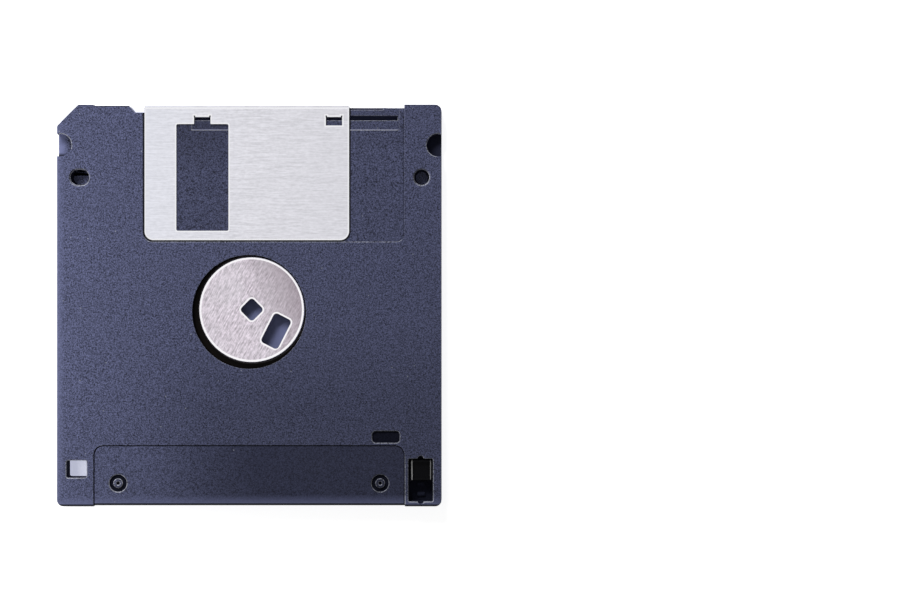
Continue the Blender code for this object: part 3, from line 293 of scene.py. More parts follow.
# What counts as one point, one flat face, a level face, an upright one, and a side of the case
# or a step that faces the front
SAME_POINT = 0.002 * MM
SAME_FLAT = math.radians(0.5)
LEVEL_NORMAL = 0.99
UPRIGHT_NORMAL = 0.5
FRONT_SIDE_NORMAL = 0.3
FRONT_STEP_NORMAL = 0.5

# A fold between two faces that is sharper than this gets a rounded edge, in so many steps
EDGE_ANGLE = math.radians(35.0)
EDGE_STEPS = 2
SMOOTH_ANGLE = math.radians(40.0)

# The spring: its coil, each leg's length over half the way between the legs' ends, how far in the
# ends lie in half wires, the points along coil and leg, and the sides of the wire
SPRING_COIL_RADIUS = 1.1 * MM
SPRING_LEG_SPREAD = 1.117
SPRING_TURNS = 2
SPRING_PITCH = 0.42 * MM
SPRING_END_INSET = 0.6
SPRING_COIL_POINTS = 121
SPRING_LEG_POINTS = 25
SPRING_SIDES = 16

# The floor, its glow, and its dimmer, tinted glow under the cartridge, so far inside the outline:
# a painted shadow seen through the holes, and a glow for all rays that lights the label side
FLOOR_HALF = 1.5
FLOOR_LEVEL = -0.02 * MM
FLOOR_GLOW = 0.85
COVERED_SHADOW_GLOW = 0.56
COVERED_SHADOW_TINT = (0.76, 0.79, 1.0, 1.0)
COVERED_INSET = 0.1 * MM

# The lamps: name, place, size, and the stage's setting for the power
LAMPS = (
    ("left_strip", (-0.072, -0.007, 0.032), (0.10, 0.03), "left"),
    ("main_lamp", (-0.120, 0.250, 0.176), (0.25, 0.06), "main"),
)

# The photograph: its width in pixels, and how the cartridge lies in it
PICTURE_WIDTH = 910
SENSOR_WIDTH = 36.0
PIXELS_PER_MM = 4.278
CAMERA_X = 48.15 * MM
CAMERA_Y = 1.05 * MM
CAMERA_HEIGHT = 363.0 * MM
CAMERA_NEAR = 0.01


@functools.cache
def cad_box(node):
    """A CAD node's box, looked up once."""
    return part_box(node)


def colour(name, description, value):
    """A colour property, in linear values."""
    return FloatVectorProperty(
        name=name, description=description, default=value, subtype="COLOR", min=0.0, max=1.0
    )


def length(name, description, value):
    """A length property, in metres."""
    settings = {"subtype": "DISTANCE", "unit": "LENGTH", "precision": 5}
    return FloatProperty(name=name, description=description, default=value, **settings)


def strength(name, description, value):
    """A lamp's power or a light's strength."""
    return FloatProperty(name=name, description=description, default=value, min=0.0)


class CartridgeCase(bpy.types.PropertyGroup):
    """The moulded case."""

    body: colour("Case colour", "Colour of the moulded plastic", (0.0695, 0.0765, 0.1385))
    # The edge colour is a painted highlight on the case's rounded edges
    edge: colour("Edge colour", "Colour of the plastic where an edge is rubbed", (0.27, 0.28, 0.34))
    edge_width: length("Edge width", "Width of the rounding on the case's fine edges", 0.20 * MM)
    grain: length("Grain size", "Size of the spark-eroded grain", 0.36 * MM)


class CartridgeShutter(bpy.types.PropertyGroup):
    """The sliding shutter and its spring."""

    face: colour("Sheet colour", "Colour of the brushed sheet", (0.715, 0.710, 0.760))
    # The cut edge colour is a painted highlight on the sheet's cut edges and the bands beside them
    cut: colour("Cut edge colour", "Colour of the bare cut edges", (0.85, 0.85, 0.88))
    edge_width: length("Edge width", "Width of the rounding on the sheet's cut edges", 0.09 * MM)
    line_spacing: length("Brush spacing", "Distance between two brushed lines", 0.24 * MM)
    line_length: length("Brush length", "Length of one brushed line", 3.6 * MM)
    wire: length("Wire", "Diameter of the spring's wire", 0.35 * MM)


class CartridgeDisc(bpy.types.PropertyGroup):
    """The hub and the disc that turns with it."""

    hub: colour("Hub colour", "Colour of the rolled steel", (0.63, 0.57, 0.635))
    # The rim colour is a painted highlight on the hub's pressed rim and the bands round its face
    # and holes
    rim: colour("Rim colour", "Colour of the pressed and punched rims", (0.95, 0.93, 0.96))
    medium: colour("Disc colour", "Colour of the magnetic coating", (0.008, 0.006, 0.0055))
    edge_width: length("Edge width", "Width of the rounding on the hub's holes", 0.10 * MM)


class CartridgeStage(bpy.types.PropertyGroup):
    """The floor, lamps and camera."""

    floor: colour("Floor colour", "Colour of the floor", (0.94, 0.94, 0.94))
    ambient: strength("Ambient", "Light from all round", 0.12)
    left: strength("Left strip", "Watts of the low left lamp", 0.019)
    main: strength("Main lamp", "Watts of the main lamp", 0.88)


def grid_faces(rows, columns):
    """The faces of a grid of points whose columns run round and close on themselves. Each face
    joins point (i, j) with (i + 1, j), (i + 1, j + 1) and (i, j + 1)."""
    i, j = np.meshgrid(np.arange(rows - 1), np.arange(columns), indexing="ij")
    here, ahead = i * columns, (i + 1) * columns
    after = (j + 1) % columns
    corners = (here + j, ahead + j, ahead + after, here + after)
    return np.stack(corners, axis=-1).reshape(-1, 4)


def new_object(name, data):
    """A new object with its data, linked to the scene."""
    thing = bpy.data.objects.new(name, data)
    bpy.context.scene.collection.objects.link(thing)
    return thing


def merged_copy(node, name, weigh, shape=None):
    """A closed copy of a CAD node, with its triangles merged and its flat faces joined. A shape
    function may change it first. Then each outward edge sharper than EDGE_ANGLE gets the bevel
    weight that weigh gives for its middle and its wall."""
    source = frame["nodes"][node]
    bm = bmesh.new()
    bm.from_mesh(source.data)
    bmesh.ops.remove_doubles(bm, verts=bm.verts, dist=SAME_POINT)
    bmesh.ops.dissolve_limit(bm, angle_limit=SAME_FLAT, verts=bm.verts, edges=bm.edges)
    if any(len(edge.link_faces) != 2 for edge in bm.edges):
        raise RuntimeError(f"the copy of {node} isn't closed")
    if shape:
        shape(bm)
    weights = bm.edges.layers.float.new("bevel_weight_edge")
    for edge in bm.edges:
        if edge.is_convex and edge.calc_face_angle() > EDGE_ANGLE:
            wall = min(edge.link_faces, key=lambda face: abs(face.normal.z))
            edge[weights] = weigh((edge.verts[0].co + edge.verts[1].co) / 2, wall)
    mesh = bpy.data.meshes.new(name)
    bm.to_mesh(mesh)
    bm.free()
    mesh.shade_smooth()
    mesh.set_sharp_from_angle(angle=SMOOTH_ANGLE)
    copy = new_object(name, mesh)
    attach(copy, source["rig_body"])
    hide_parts(node)
    return copy


def round_edges(thing, width):
    """Rounds the weighted edges. The new faces take the object's second material."""
    bevel = thing.modifiers.new("fine_edges", "BEVEL")
    bevel.limit_method = "WEIGHT"
    bevel.width = width
    bevel.segments = EDGE_STEPS
    bevel.profile = 0.5
    bevel.use_clamp_overlap = False
    bevel.material = 1
    normals = thing.modifiers.new("flat_faces", "WEIGHTED_NORMAL")
    normals.mode = "FACE_AREA"
    normals.weight = 100
    normals.keep_sharp = True


def dress(thing, slot, *materials):
    """Gives a piece its materials in order. Its slot argument is not used."""
    # Clearing sets the faces' material numbers to 0, even in an empty list
    if thing.data.materials:
        thing.data.materials.clear()
    for material in materials:
        thing.data.materials.append(material)


def wire(tree, socket, value):
    """Sets a socket to a plain value, or links it to the socket given."""
    if isinstance(value, bpy.types.NodeSocket):
        tree.links.new(value, socket)
    else:
        socket.default_value = value


def add(tree, kind, inputs=(), **settings):
    """A new shader node with its settings, and its inputs set or linked by name or by number."""
    node = tree.nodes.new("ShaderNode" + kind)
    for key, value in settings.items():
        setattr(node, key, value)
    for key, value in dict(inputs).items():
        wire(tree, node.inputs[key], value)
    return node


def maths(tree, operation, *values):
    """The result of one Math node."""
    return add(tree, "Math", enumerate(values), operation=operation).outputs[0]


def product(tree, *values):
    """All the values multiplied."""
    return functools.reduce(functools.partial(maths, tree, "MULTIPLY"), values)


def largest(tree, *values):
    """The largest of the values."""
    return functools.reduce(functools.partial(maths, tree, "MAXIMUM"), values)


def less(tree, value, limit):
    """1 where a value is below a limit, 0 elsewhere."""
    return maths(tree, "LESS_THAN", value, limit)


def more(tree, value, limit):
    """1 where a value is above a limit, 0 elsewhere."""
    return maths(tree, "GREATER_THAN", value, limit)


def distance(tree, value, other):
    """How far one value is from another, without a sign."""
    return maths(tree, "ABSOLUTE", maths(tree, "SUBTRACT", value, other))


def band(tree, value, middle_value, half_width):
    """1 where a value lies within half a width of the middle one, 0 elsewhere."""
    return less(tree, distance(tree, value, middle_value), half_width)


def spread(tree, value, low, high, to_low=0.0, to_high=1.0):
    """A value carried from one range to another, clamped at its ends."""
    ranges = {"From Min": low, "From Max": high, "To Min": to_low, "To Max": to_high}
    return add(tree, "MapRange", {"Value": value, **ranges}).outputs["Result"]


def mixed(tree, share, first, second):
    """A colour between two colours."""
    inputs = {"Factor": share, 6: first, 7: second}
    return add(tree, "Mix", inputs, data_type="RGBA").outputs[2]


def times(value, factor):
    """A colour made lighter or darker, with its alpha."""
    return (*[min(1.0, part * factor) for part in value[:3]], 1.0)


def varied(tree, share, base, low, high):
    """A colour that a share takes from one brightness to another."""
    return mixed(tree, share, times(base, low), times(base, high))


def darker(tree, share, tone):
    """A colour with a share of black in it."""
    return mixed(tree, share, tone, BLACK)


def group(name, inputs, outputs):
    """An empty shader node group with named value inputs, a Vector input and value outputs."""
    tree = bpy.data.node_groups.new(name, "ShaderNodeTree")
    sockets = tree.interface
    sockets.new_socket(name="Vector", in_out="INPUT", socket_type="NodeSocketVector")
    for key, value in inputs.items():
        socket = sockets.new_socket(name=key, in_out="INPUT", socket_type="NodeSocketFloat")
        socket.default_value = value
    for key in outputs:
        sockets.new_socket(name=key, in_out="OUTPUT", socket_type="NodeSocketFloat")
    start = tree.nodes.new("NodeGroupInput")
    end = tree.nodes.new("NodeGroupOutput")
    return tree, start.outputs, end.inputs


def joined(tree, *parts):
    """A vector from its parts, X first. The parts that aren't given are 0."""
    return add(tree, "CombineXYZ", enumerate(parts)).outputs[0]


def scaled(tree, vector, *sizes):
    """A vector divided by one size along each axis, or by one size along all."""
    over = joined(tree, *(sizes * 3 if len(sizes) == 1 else sizes))
    node = add(tree, "VectorMath", {0: vector, 1: over}, operation="DIVIDE")
    return node.outputs[0]


def axes(tree, vector):
    """The X, Y and Z outputs of a vector."""
    return add(tree, "SeparateXYZ", {0: vector}).outputs


def length_of(tree, vector):
    """The length of a vector."""
    return add(tree, "VectorMath", {0: vector}, operation="LENGTH").outputs["Value"]


def moved(tree, vector, **settings):
    """A vector moved or turned, with the values given as a Mapping node's inputs."""
    return add(tree, "Mapping", {"Vector": vector, **settings}).outputs["Vector"]


def from_hub(tree, place):
    """A place as seen from the hub's axis."""
    centre = middle("hub")
    return moved(tree, place, Location=(-centre.x, -centre.y, 0.0))


def turned(tree, vector, degrees):
    """A vector turned about Z."""
    return moved(tree, vector, Rotation=(0.0, 0.0, math.radians(degrees)))


def noise(tree, vector, detail, roughness):
    """Plain noise with cells one unit across, from 0 to 1."""
    inputs = {"Vector": vector, "Scale": 1.0, "Detail": detail, "Roughness": roughness}
    return add(tree, "TexNoise", inputs).outputs[0]


def blend_of(tree, first, second, share):
    """Two values added, the first with a share and the second with the rest."""
    first = product(tree, first, share)
    return maths(tree, "ADD", first, product(tree, second, 1.0 - share))


def grain_group():
    """Spark-eroded grain: two sizes of rounded pits. Height is for bump, Speckle for colour."""
    tree, given, result = group("moulded_grain", {"Size": 0.3 * MM}, ("Height", "Speckle"))
    coarse = noise(tree, scaled(tree, given["Vector"], given["Size"]), 2.0, 0.6)
    small = product(tree, given["Size"], 0.45)
    fine = noise(tree, scaled(tree, given["Vector"], small), 1.0, 0.5)
    both = blend_of(tree, coarse, fine, 0.5)
    wire(tree, result["Height"], both)
    wire(tree, result["Speckle"], spread(tree, both, 0.38, 0.62))
    return tree


def brushed_group():
    """Brushed or rolled lines along the pattern's own X, in two lengths."""
    inputs = {"Spacing": 0.16 * MM, "Length": 7.0 * MM}
    tree, given, result = group("brushed_lines", inputs, ("Streak", "Height"))
    place, spacing = given["Vector"], given["Spacing"]
    lines = noise(tree, scaled(tree, place, given["Length"], spacing, spacing), 3.0, 0.7)
    short = product(tree, given["Length"], 0.3)
    broad = product(tree, spacing, 2.3)
    patches = noise(tree, scaled(tree, place, short, broad, broad), 2.0, 0.6)
    both = blend_of(tree, lines, patches, 0.65)
    wire(tree, result["Height"], both)
    wire(tree, result["Streak"], spread(tree, both, 0.36, 0.64))
    return tree


def specks_group():
    """Scattered specks of dust: the middles of some cells, picked by a random share."""
    inputs = {"Spacing": 2.0 * MM, "Size": 0.1, "Share": 0.3}
    tree, given, result = group("dust_specks", inputs, ("Mask",))
    cells = scaled(tree, given["Vector"], given["Spacing"])
    spots = add(tree, "TexVoronoi", {"Vector": cells, "Scale": 1.0}).outputs
    pick = add(tree, "TexWhiteNoise", {"Vector": spots["Position"]}).outputs["Value"]
    near = less(tree, spots["Distance"], given["Size"])
    wire(tree, result["Mask"], product(tree, near, less(tree, pick, given["Share"])))
    return tree


def smudge_group():
    """Broad soft patches, where hands and sleeves have polished a surface."""
    tree, given, result = group("handling", {"Size": 14.0 * MM}, ("Mask",))
    patches = noise(tree, scaled(tree, given["Vector"], given["Size"]), 3.0, 0.55)
    wire(tree, result["Mask"], spread(tree, patches, 0.35, 0.68))
    return tree


GROUPS = {
    "moulded_grain": grain_group,
    "brushed_lines": brushed_group,
    "dust_specks": specks_group,
    "handling": smudge_group,
}


def effect(tree, name, vector, **values):
    """One of the shared effects placed in a material, built the first time it is asked for."""
    shared = bpy.data.node_groups.get(name) or GROUPS[name]()
    node = add(tree, "Group", node_tree=shared)
    wire(tree, node.inputs["Vector"], vector)
    for key, value in values.items():
        wire(tree, node.inputs[key], value)
    return node.outputs


def blank_material(name, roughness, metallic=0.0, shine=0.5):
    """A material with a Principled shader, and the object's own coordinates to draw on."""
    material = bpy.data.materials.new(name)
    material.use_nodes = True
    tree = material.node_tree
    shader = tree.nodes["Principled BSDF"]
    plain = {"Roughness": roughness, "Metallic": metallic, "Specular IOR Level": shine}
    for key, value in plain.items():
        shader.inputs[key].default_value = value
    place = add(tree, "TexCoord").outputs["Object"]
    return material, tree, shader, place


def paint(tree, shader, tone, rough=None):
    """Feeds a colour, and a roughness where there is one, into the shader."""
    wire(tree, shader.inputs["Base Color"], tone)
    if rough is not None:
        wire(tree, shader.inputs["Roughness"], rough)


def bump(tree, shader, height, depth):
    """Feeds a height into the shader's normal."""
    node = add(tree, "Bump", {"Height": height, "Distance": depth, "Strength": 1.0})
    wire(tree, shader.inputs["Normal"], node.outputs["Normal"])


def shutter_shadow_line(tree, x, y):
    """Painted shadow of the closed shutter on the case, on three sides: full at the shutter's
    outline, which has round corners, and not at all a little way out."""
    left, rear = cad_box("shutter")[0].xy
    half = SHUTTER_WIDTH / 2
    offsets = []
    for value, centre, reach in ((x, left + half, half), (y, HALF_LENGTH, HALF_LENGTH - rear)):
        away = distance(tree, value, centre)
        past = maths(tree, "SUBTRACT", away, reach - SHUTTER_CORNER)
        offsets.append(largest(tree, past, 0.0))
    away = length_of(tree, joined(tree, *offsets))
    away = maths(tree, "SUBTRACT", away, SHUTTER_CORNER)
    return product(tree, spread(tree, away, *SHADOW_LINE_FADE), more(tree, away, SHADOW_LINE_INSIDE))


def label_shade(tree, x, z, height):
    """How dark the label's floors are: evenly on the label side, and on the hub side more to the
    right, as painted shade that leaves the left looking lit."""
    floor = band(tree, height, SEAM - LABEL_DEPTH, LEVEL_ERROR)
    under = less(tree, z, SEAM)
    most = LABEL_SHADE_RAMP[-1]
    shade = largest(tree, spread(tree, x, *LABEL_SHADE_RAMP), product(tree, under, LABEL_SIDE_SHARE))
    limit = maths(tree, "SUBTRACT", most, product(tree, under, most - LABEL_SIDE_SHARE))
    return product(tree, floor, maths(tree, "MINIMUM", shade, limit))


def recess_shade(tree, x, y, height):
    """Painted shade in the slide recess: more to the left and the front, and most at its right
    wall.
    """
    shade = product(tree, spread(tree, x, *RECESS_ACROSS), spread(tree, y, *RECESS_ALONG))
    foot = band(tree, x, RECESS_RIGHT - RECESS_FOOT / 2, RECESS_FOOT / 2)
    shade = largest(tree, shade, product(tree, foot, RECESS_FOOT_SHARE))
    return product(tree, band(tree, height, RECESS_LEVEL, RECESS_SPAN), shade)


def notch_light_and_shade(tree, x, y, height, base, tone):
    """The left notch's floor: painted light towards the side, and painted shade at the foot of its
    walls.
    """
    inside = product(
        tree,
        less(tree, x, -HALF_WIDTH + NOTCH_WIDTH),
        band(tree, y, NOTCH_MIDDLE, NOTCH_LENGTH / 2),
        less(tree, height, SEAM - DEEP_FROM),
    )
    lit = product(tree, inside, spread(tree, x, *NOTCH_LIT))
    tone = mixed(tree, lit, tone, times(base, NOTCH_LIGHT))
    foot = largest(tree, spread(tree, x, *NOTCH_FOOT), spread(tree, y, *NOTCH_BELOW))
    return darker(tree, product(tree, inside, foot), tone)


def relief_highlight(tree, x, y, height):
    """A painted highlight along the edge of the shallow relief behind the guide slot."""
    centre = (RELIEF_LEFT + RELIEF_RIGHT) / 2
    return product(
        tree,
        band(tree, x, centre, RELIEF_RIGHT - centre),
        band(tree, y, RELIEF_EDGE, RELIEF_LINE / 2),
        band(tree, height, RECESS_LEVEL, RECESS_SPAN),
        RELIEF_SHARE,
    )


def front_rim_shade(tree, x, y, z):
    """Painted shade on the rim on the hub side along the front edge and the cut corner."""
    stepped = more(tree, y, HALF_LENGTH - LAND_STEP - FRONT_RIM)
    slant = maths(tree, "SUBTRACT", y, x)
    corner = HALF_LENGTH + HALF_WIDTH - KEY_CUT - FRONT_RIM * math.sqrt(2.0)
    edges = largest(
        tree,
        more(tree, y, HALF_LENGTH - FRONT_RIM),
        product(tree, stepped, band(tree, x, 0.0, RECESS_RIGHT)),
        more(tree, slant, corner),
    )
    return product(tree, edges, more(tree, z, TOP - FRONT_RIM_DEPTH), FRONT_RIM_SHARE)


def rear_rim_shade(tree, x, y, z):
    """Painted shade on the rim on the hub side along the rear edge, wider across the label's floor.
    """
    flap = band(tree, x, 0.0, LABEL_HALF_WIDTH)
    reach = maths(tree, "ADD", -HALF_LENGTH + REAR_RIM, product(tree, flap, LABEL_WRAP))
    high = more(tree, z, TOP - REAR_RIM_DEPTH)
    return product(tree, less(tree, y, reach), high, REAR_RIM_SHARE)


def case_material(name, shape, base, grain_depth, roughness, shine):
    """Moulded plastic: grain, polished patches, painted light and shade at single places, and dust.
    """
    material, tree, shader, place = blank_material(name, roughness, shine=shine)
    grain = effect(tree, "moulded_grain", place, Size=shape.grain)
    polish = effect(tree, "handling", place)["Mask"]
    dust = effect(tree, "dust_specks", place, Spacing=2.6 * MM, Size=0.05, Share=0.45)["Mask"]
    x, y, z = axes(tree, place)
    height = distance(tree, z, SEAM)
    tone = varied(tree, grain["Speckle"], base, *CASE_SPECKLE)
    tone = mixed(tree, product(tree, polish, 0.12), tone, times(base, POLISHED))
    # Painted shade on the label's floors
    tone = mixed(tree, label_shade(tree, x, z, height), tone, LABEL_TONE)
    # Painted shade in the slide recess, in a line beside the closed shutter, and over the lower
    # middle
    low = product(tree, spread(tree, y, *LOWER_SHADE_ALONG), spread(tree, x, *LOWER_SHADE_ACROSS))
    for share in (recess_shade(tree, x, y, height), shutter_shadow_line(tree, x, y), low):
        tone = darker(tree, share, tone)
    # A painted sheen along the rear edge, and painted highlights along both sides
    highlighted = [spread(tree, x, *LEFT_SIDE_HIGHLIGHT), spread(tree, x, *RIGHT_SIDE_HIGHLIGHT)]
    highlighted = largest(tree, spread(tree, y, *REAR_EDGE_SHEEN), *highlighted)
    tone = mixed(tree, highlighted, tone, times(base, HIGHLIGHT_GAIN))
    # Painted light and shade in the left notch
    tone = notch_light_and_shade(tree, x, y, height, base, tone)
    # A painted highlight along the relief's edge
    tone = mixed(tree, relief_highlight(tree, x, y, height), tone, times(base, RELIEF_LIGHT))
    # Painted shade on the front and rear rims
    for rim in (front_rim_shade, rear_rim_shade):
        tone = darker(tree, rim(tree, x, y, z), tone)
    tone = mixed(tree, product(tree, dust, 0.7), tone, DUST_TONE)
    rough = spread(tree, polish, 0.0, 1.0, roughness + 0.05, roughness - 0.06)
    paint(tree, shader, tone, rough)
    bump(tree, shader, grain["Height"], grain_depth)
    return material


def deep_material(base):
    """The same plastic in slots and pits, darkened by painted shade, with hardly a sheen. The guide
    slot gets less painted shade, and what the hub's holes show gets painted light."""
    material, tree, shader, place = blank_material("case_deep", 0.7, shine=0.02)
    grain = effect(tree, "moulded_grain", place, Size=0.40 * MM)
    parts = axes(tree, place)
    height = distance(tree, parts["Z"], SEAM)
    # Painted shade, deeper with depth; less in the guide slot, and painted light on the inside
    # under the hub
    tone = varied(tree, grain["Speckle"], base, *DEEP_SHADE_SPECKLE)
    tone = mixed(tree, spread(tree, height, *DEEP_SHADE_RANGE), tone, times(base, DEEPER_SHADE))
    tone = mixed(tree, more(tree, parts["Y"], GUIDE_REAR), tone, times(base, GUIDE_LIGHT))
    away = axes(tree, from_hub(tree, place))
    seat = less(tree, length_of(tree, joined(tree, away["X"], away["Y"])), SEAT_ZONE)
    seat = product(tree, seat, less(tree, height, SEAM - DEEP_FROM))
    tone = mixed(tree, seat, tone, times(base, SEAT_LIGHT))
    paint(tree, shader, tone)
    bump(tree, shader, grain["Height"], 0.015 * MM)
    return material


def sheet_material(shape):
    """Brushed aluminium sheet: fine lines along X in its colour, roughness and relief, with a
    painted reflection at the left and painted shade at the right."""
    material, tree, shader, place = blank_material("shutter_sheet", 0.34, 1.0)
    sizes = {"Spacing": shape.line_spacing, "Length": shape.line_length}
    lines = effect(tree, "brushed_lines", place, **sizes)
    polish = effect(tree, "handling", place, Size=9.0 * MM)["Mask"]
    tone = varied(tree, lines["Streak"], shape.face, *SHEET_STREAK)
    across = axes(tree, place)["X"]
    # A painted reflection at the left, and painted shade at the right
    tone = mixed(tree, spread(tree, across, *SHEET_REFLECTION_RAMP), tone, REFLECTION_TONE)
    tone = mixed(tree, spread(tree, across, *SHEET_SHADE_RAMP), tone, times(shape.face, SHEET_SHADE_GAIN))
    rough = spread(tree, lines["Streak"], 0.0, 1.0, 0.30, 0.38)
    paint(tree, shader, tone, maths(tree, "ADD", rough, product(tree, polish, 0.04)))
    bump(tree, shader, lines["Height"], 0.0035 * MM)
    return material


def metal_light_and_shade_material(name, base, roughness):
    """Plain metal with the faint drag lines of the punch: light for painted highlights on edges and
    bands, dark for painted shade.
    """
    material, tree, shader, place = blank_material(name, roughness, 1.0)
    lines = effect(tree, "brushed_lines", place, Spacing=0.12 * MM, Length=0.5 * MM)
    paint(tree, shader, varied(tree, lines["Streak"], base, *EDGE_STREAK))
    return material


def hub_material(shape):
    """Rolled steel: slanting streaks and patches over a faint relief, with painted shade to the
    right.
    """
    material, tree, shader, place = blank_material("hub_steel_rolled", 0.42, 1.0)
    grain = turned(tree, place, -62.0)
    lines = effect(tree, "brushed_lines", grain, Spacing=0.27 * MM, Length=2.6 * MM)
    polish = effect(tree, "handling", grain, Size=6.0 * MM)["Mask"]
    tone = varied(tree, lines["Streak"], shape.hub, *HUB_STREAK)
    tone = mixed(tree, product(tree, polish, 0.35), tone, HUB_POLISHED)
    parts = axes(tree, place)
    # Painted shade growing to the right along a slant
    slant = maths(tree, "ADD", parts["X"], product(tree, parts["Y"], HUB_SLANT))
    tone = mixed(tree, spread(tree, slant, *STEEL_SHADE_RAMP), tone, STEEL_SHADE_TONE)
    paint(tree, shader, tone, spread(tree, lines["Streak"], 0.0, 1.0, 0.36, 0.48))
    bump(tree, shader, lines["Height"], 0.012 * MM)
    return material


def slider_material(name, base, roughness, shine):
    """Black acetal: satin, with a very fine grain, and a painted highlight along each ridge."""
    material, tree, shader, place = blank_material(name, roughness, shine=shine)
    grain = effect(tree, "moulded_grain", place, Size=0.14 * MM)
    tone = varied(tree, grain["Speckle"], base, *SLIDER_SPECKLE)
    parts = axes(tree, place)
    centre = middle("write_protect_tab").x
    top = more(tree, parts["Z"], cad_box("write_protect_tab")[1].z - RIDGE_DEPTH)
    # A painted highlight along each ridge
    for offset, share in RIDGE_HIGHLIGHTS:
        ridge = product(tree, band(tree, parts["X"], centre + offset, RIDGE_HALF_WIDTH), top)
        tone = mixed(tree, product(tree, ridge, share), tone, WHITE)
    paint(tree, shader, tone)
    bump(tree, shader, grain["Height"], 0.004 * MM)
    return material


def medium_material(shape):
    """Burnished oxide coating: dark brown, with faint rings about the hub."""
    material, tree, shader, place = blank_material("disc_coating", 0.35, shine=0.04)
    line = joined(tree, length_of(tree, from_hub(tree, place)))
    rings = noise(tree, scaled(tree, line, 0.2 * MM, 1.0, 1.0), 3.0, 0.6)
    tone = varied(tree, rings, shape.medium, *MEDIUM_RINGS)
    paint(tree, shader, tone, spread(tree, rings, 0.3, 0.7, 0.22, 0.34))
    return material


def cloth_material():
    """Non-woven liner: short white fibres pressed flat in every direction."""
    material, tree, shader, place = blank_material("liner_fibres", 0.9)
    layers = [
        effect(tree, "brushed_lines", way, Spacing=0.06 * MM, Length=1.1 * MM)["Streak"]
        for way in (place, turned(tree, place, 70.0))
    ]
    fibres = largest(tree, *layers)
    paint(tree, shader, mixed(tree, fibres, *CLOTH_TONES))
    bump(tree, shader, fibres, 0.02 * MM)
    return material


def plain_film_material(name, base, roughness):
    """Thin film or adhesive with a little unevenness."""
    material, tree, shader, place = blank_material(name, roughness)
    patches = effect(tree, "handling", place, Size=1.5 * MM)["Mask"]
    paint(tree, shader, varied(tree, patches, base, *FILM_PATCHES))
    return material


def wire_material():
    """Drawn spring wire with die lines."""
    material, tree, shader, place = blank_material("spring_wire_drawn", 0.3, 1.0)
    lines = effect(tree, "brushed_lines", place, Spacing=0.05 * MM, Length=1.0 * MM)
    paint(tree, shader, mixed(tree, lines["Streak"], *WIRE_TONES))
    return material


def sheet_weight(place, wall):
    """All edges of the shutter are rounded but those at the bends of its two tabs."""
    return 0.0 if abs(place.y - TAB_BEND) < TAB_BEND_ZONE else 1.0


def slider_weight(place, wall):
    """Only the slider's two ridges along its travel are worn round."""
    low, high = cad_box("write_protect_tab")
    from_middle = abs(place.x - (low.x + high.x) / 2)
    return 1.0 if place.z > high.z - LEVEL_ERROR and from_middle > RIDGE_ZONE else 0.0


def inside_outline(place):
    """How far a place is from the nearest side of the case's outline."""
    return min(HALF_WIDTH - abs(place.x), HALF_LENGTH - abs(place.y))


def is_outer_side(place, normal):
    """Whether a wall is a side of the case, its cut corner or the left notch's rear half."""
    inside = inside_outline(place)
    outward = normal.x * place.x + normal.y * place.y > 0.0
    return inside < SIDE_ZONE or outward and inside < CORNER_ZONE


def shell_weight(place, wall):
    """How far an edge is rounded: in full on the outline and the rims of holes, by half halfway
    down, less on low steps, hardly at the hub's opening and the two walls whose lines are drawn,
    and not at all on the front outline and in deep places."""
    depth = below_face(place)
    heights = [vert.co.z for vert in wall.verts]
    side = inside_outline(place) < SIDE_ZONE
    outer = side or place.x < 0.0 and is_outer_side(place, wall.normal)
    recess_right = abs(place.x - RECESS_RIGHT) < LABEL_LINE and place.y > RECESS_REAR_ZONE
    flap_left = abs(place.x + LABEL_HALF_WIDTH) < LABEL_LINE and place.y < MARK_ZONE
    if recess_right or flap_left:
        return DRAWN_ROUND
    if outer and wall.normal.y > FRONT_SIDE_NORMAL:
        return 0.0
    if (place - middle("hub")).xy.length < HUB_ZONE:
        return HUB_ROUND
    if max(heights) - min(heights) < LOW_STEP:
        return HALF_ROUND if wall.normal.y > FRONT_STEP_NORMAL else STEP_ROUND
    if depth < MARK_FLOOR:
        return 1.0
    return 0.0 if depth > DEEP_FROM and not side else HALF_ROUND


def is_level(face):
    """Whether a face lies level, whichever way it looks."""
    return abs(face.normal.z) > LEVEL_NORMAL


def inset(bm, faces, width):
    """Sets a band of a width in a region of faces along its outline, and gives the band's faces."""
    sizes = {"thickness": width, "use_boundary": True, "use_even_offset": True}
    return bmesh.ops.inset_region(bm, faces=faces, **sizes)["faces"]


def level_faces(bm, wanted):
    """The level faces whose middle is a place that is wanted."""
    return [face for face in bm.faces if is_level(face) and wanted(face.calc_center_median())]


def line_floors(bm, wanted, width):
    """Sets a line of a width round the level faces that are wanted, in the third material."""
    for face in inset(bm, level_faces(bm, wanted), width):
        face.material_index = 2


def below_face(place):
    """How deep a place lies below the nearer outer face."""
    return SEAM - abs(place.z - SEAM)


def is_pin_floor(place):
    """Whether a level place is the floor of a pin hole."""
    beside = inside_outline(place) < PIN_ZONE and PIN_REAR < place.y < NOTCH_ZONE
    return beside and below_face(place) > DEEP_FROM


def is_label_floor(place):
    """Whether a level place is on the label's recessed floors."""
    return abs(below_face(place) - LABEL_DEPTH) < LEVEL_ERROR


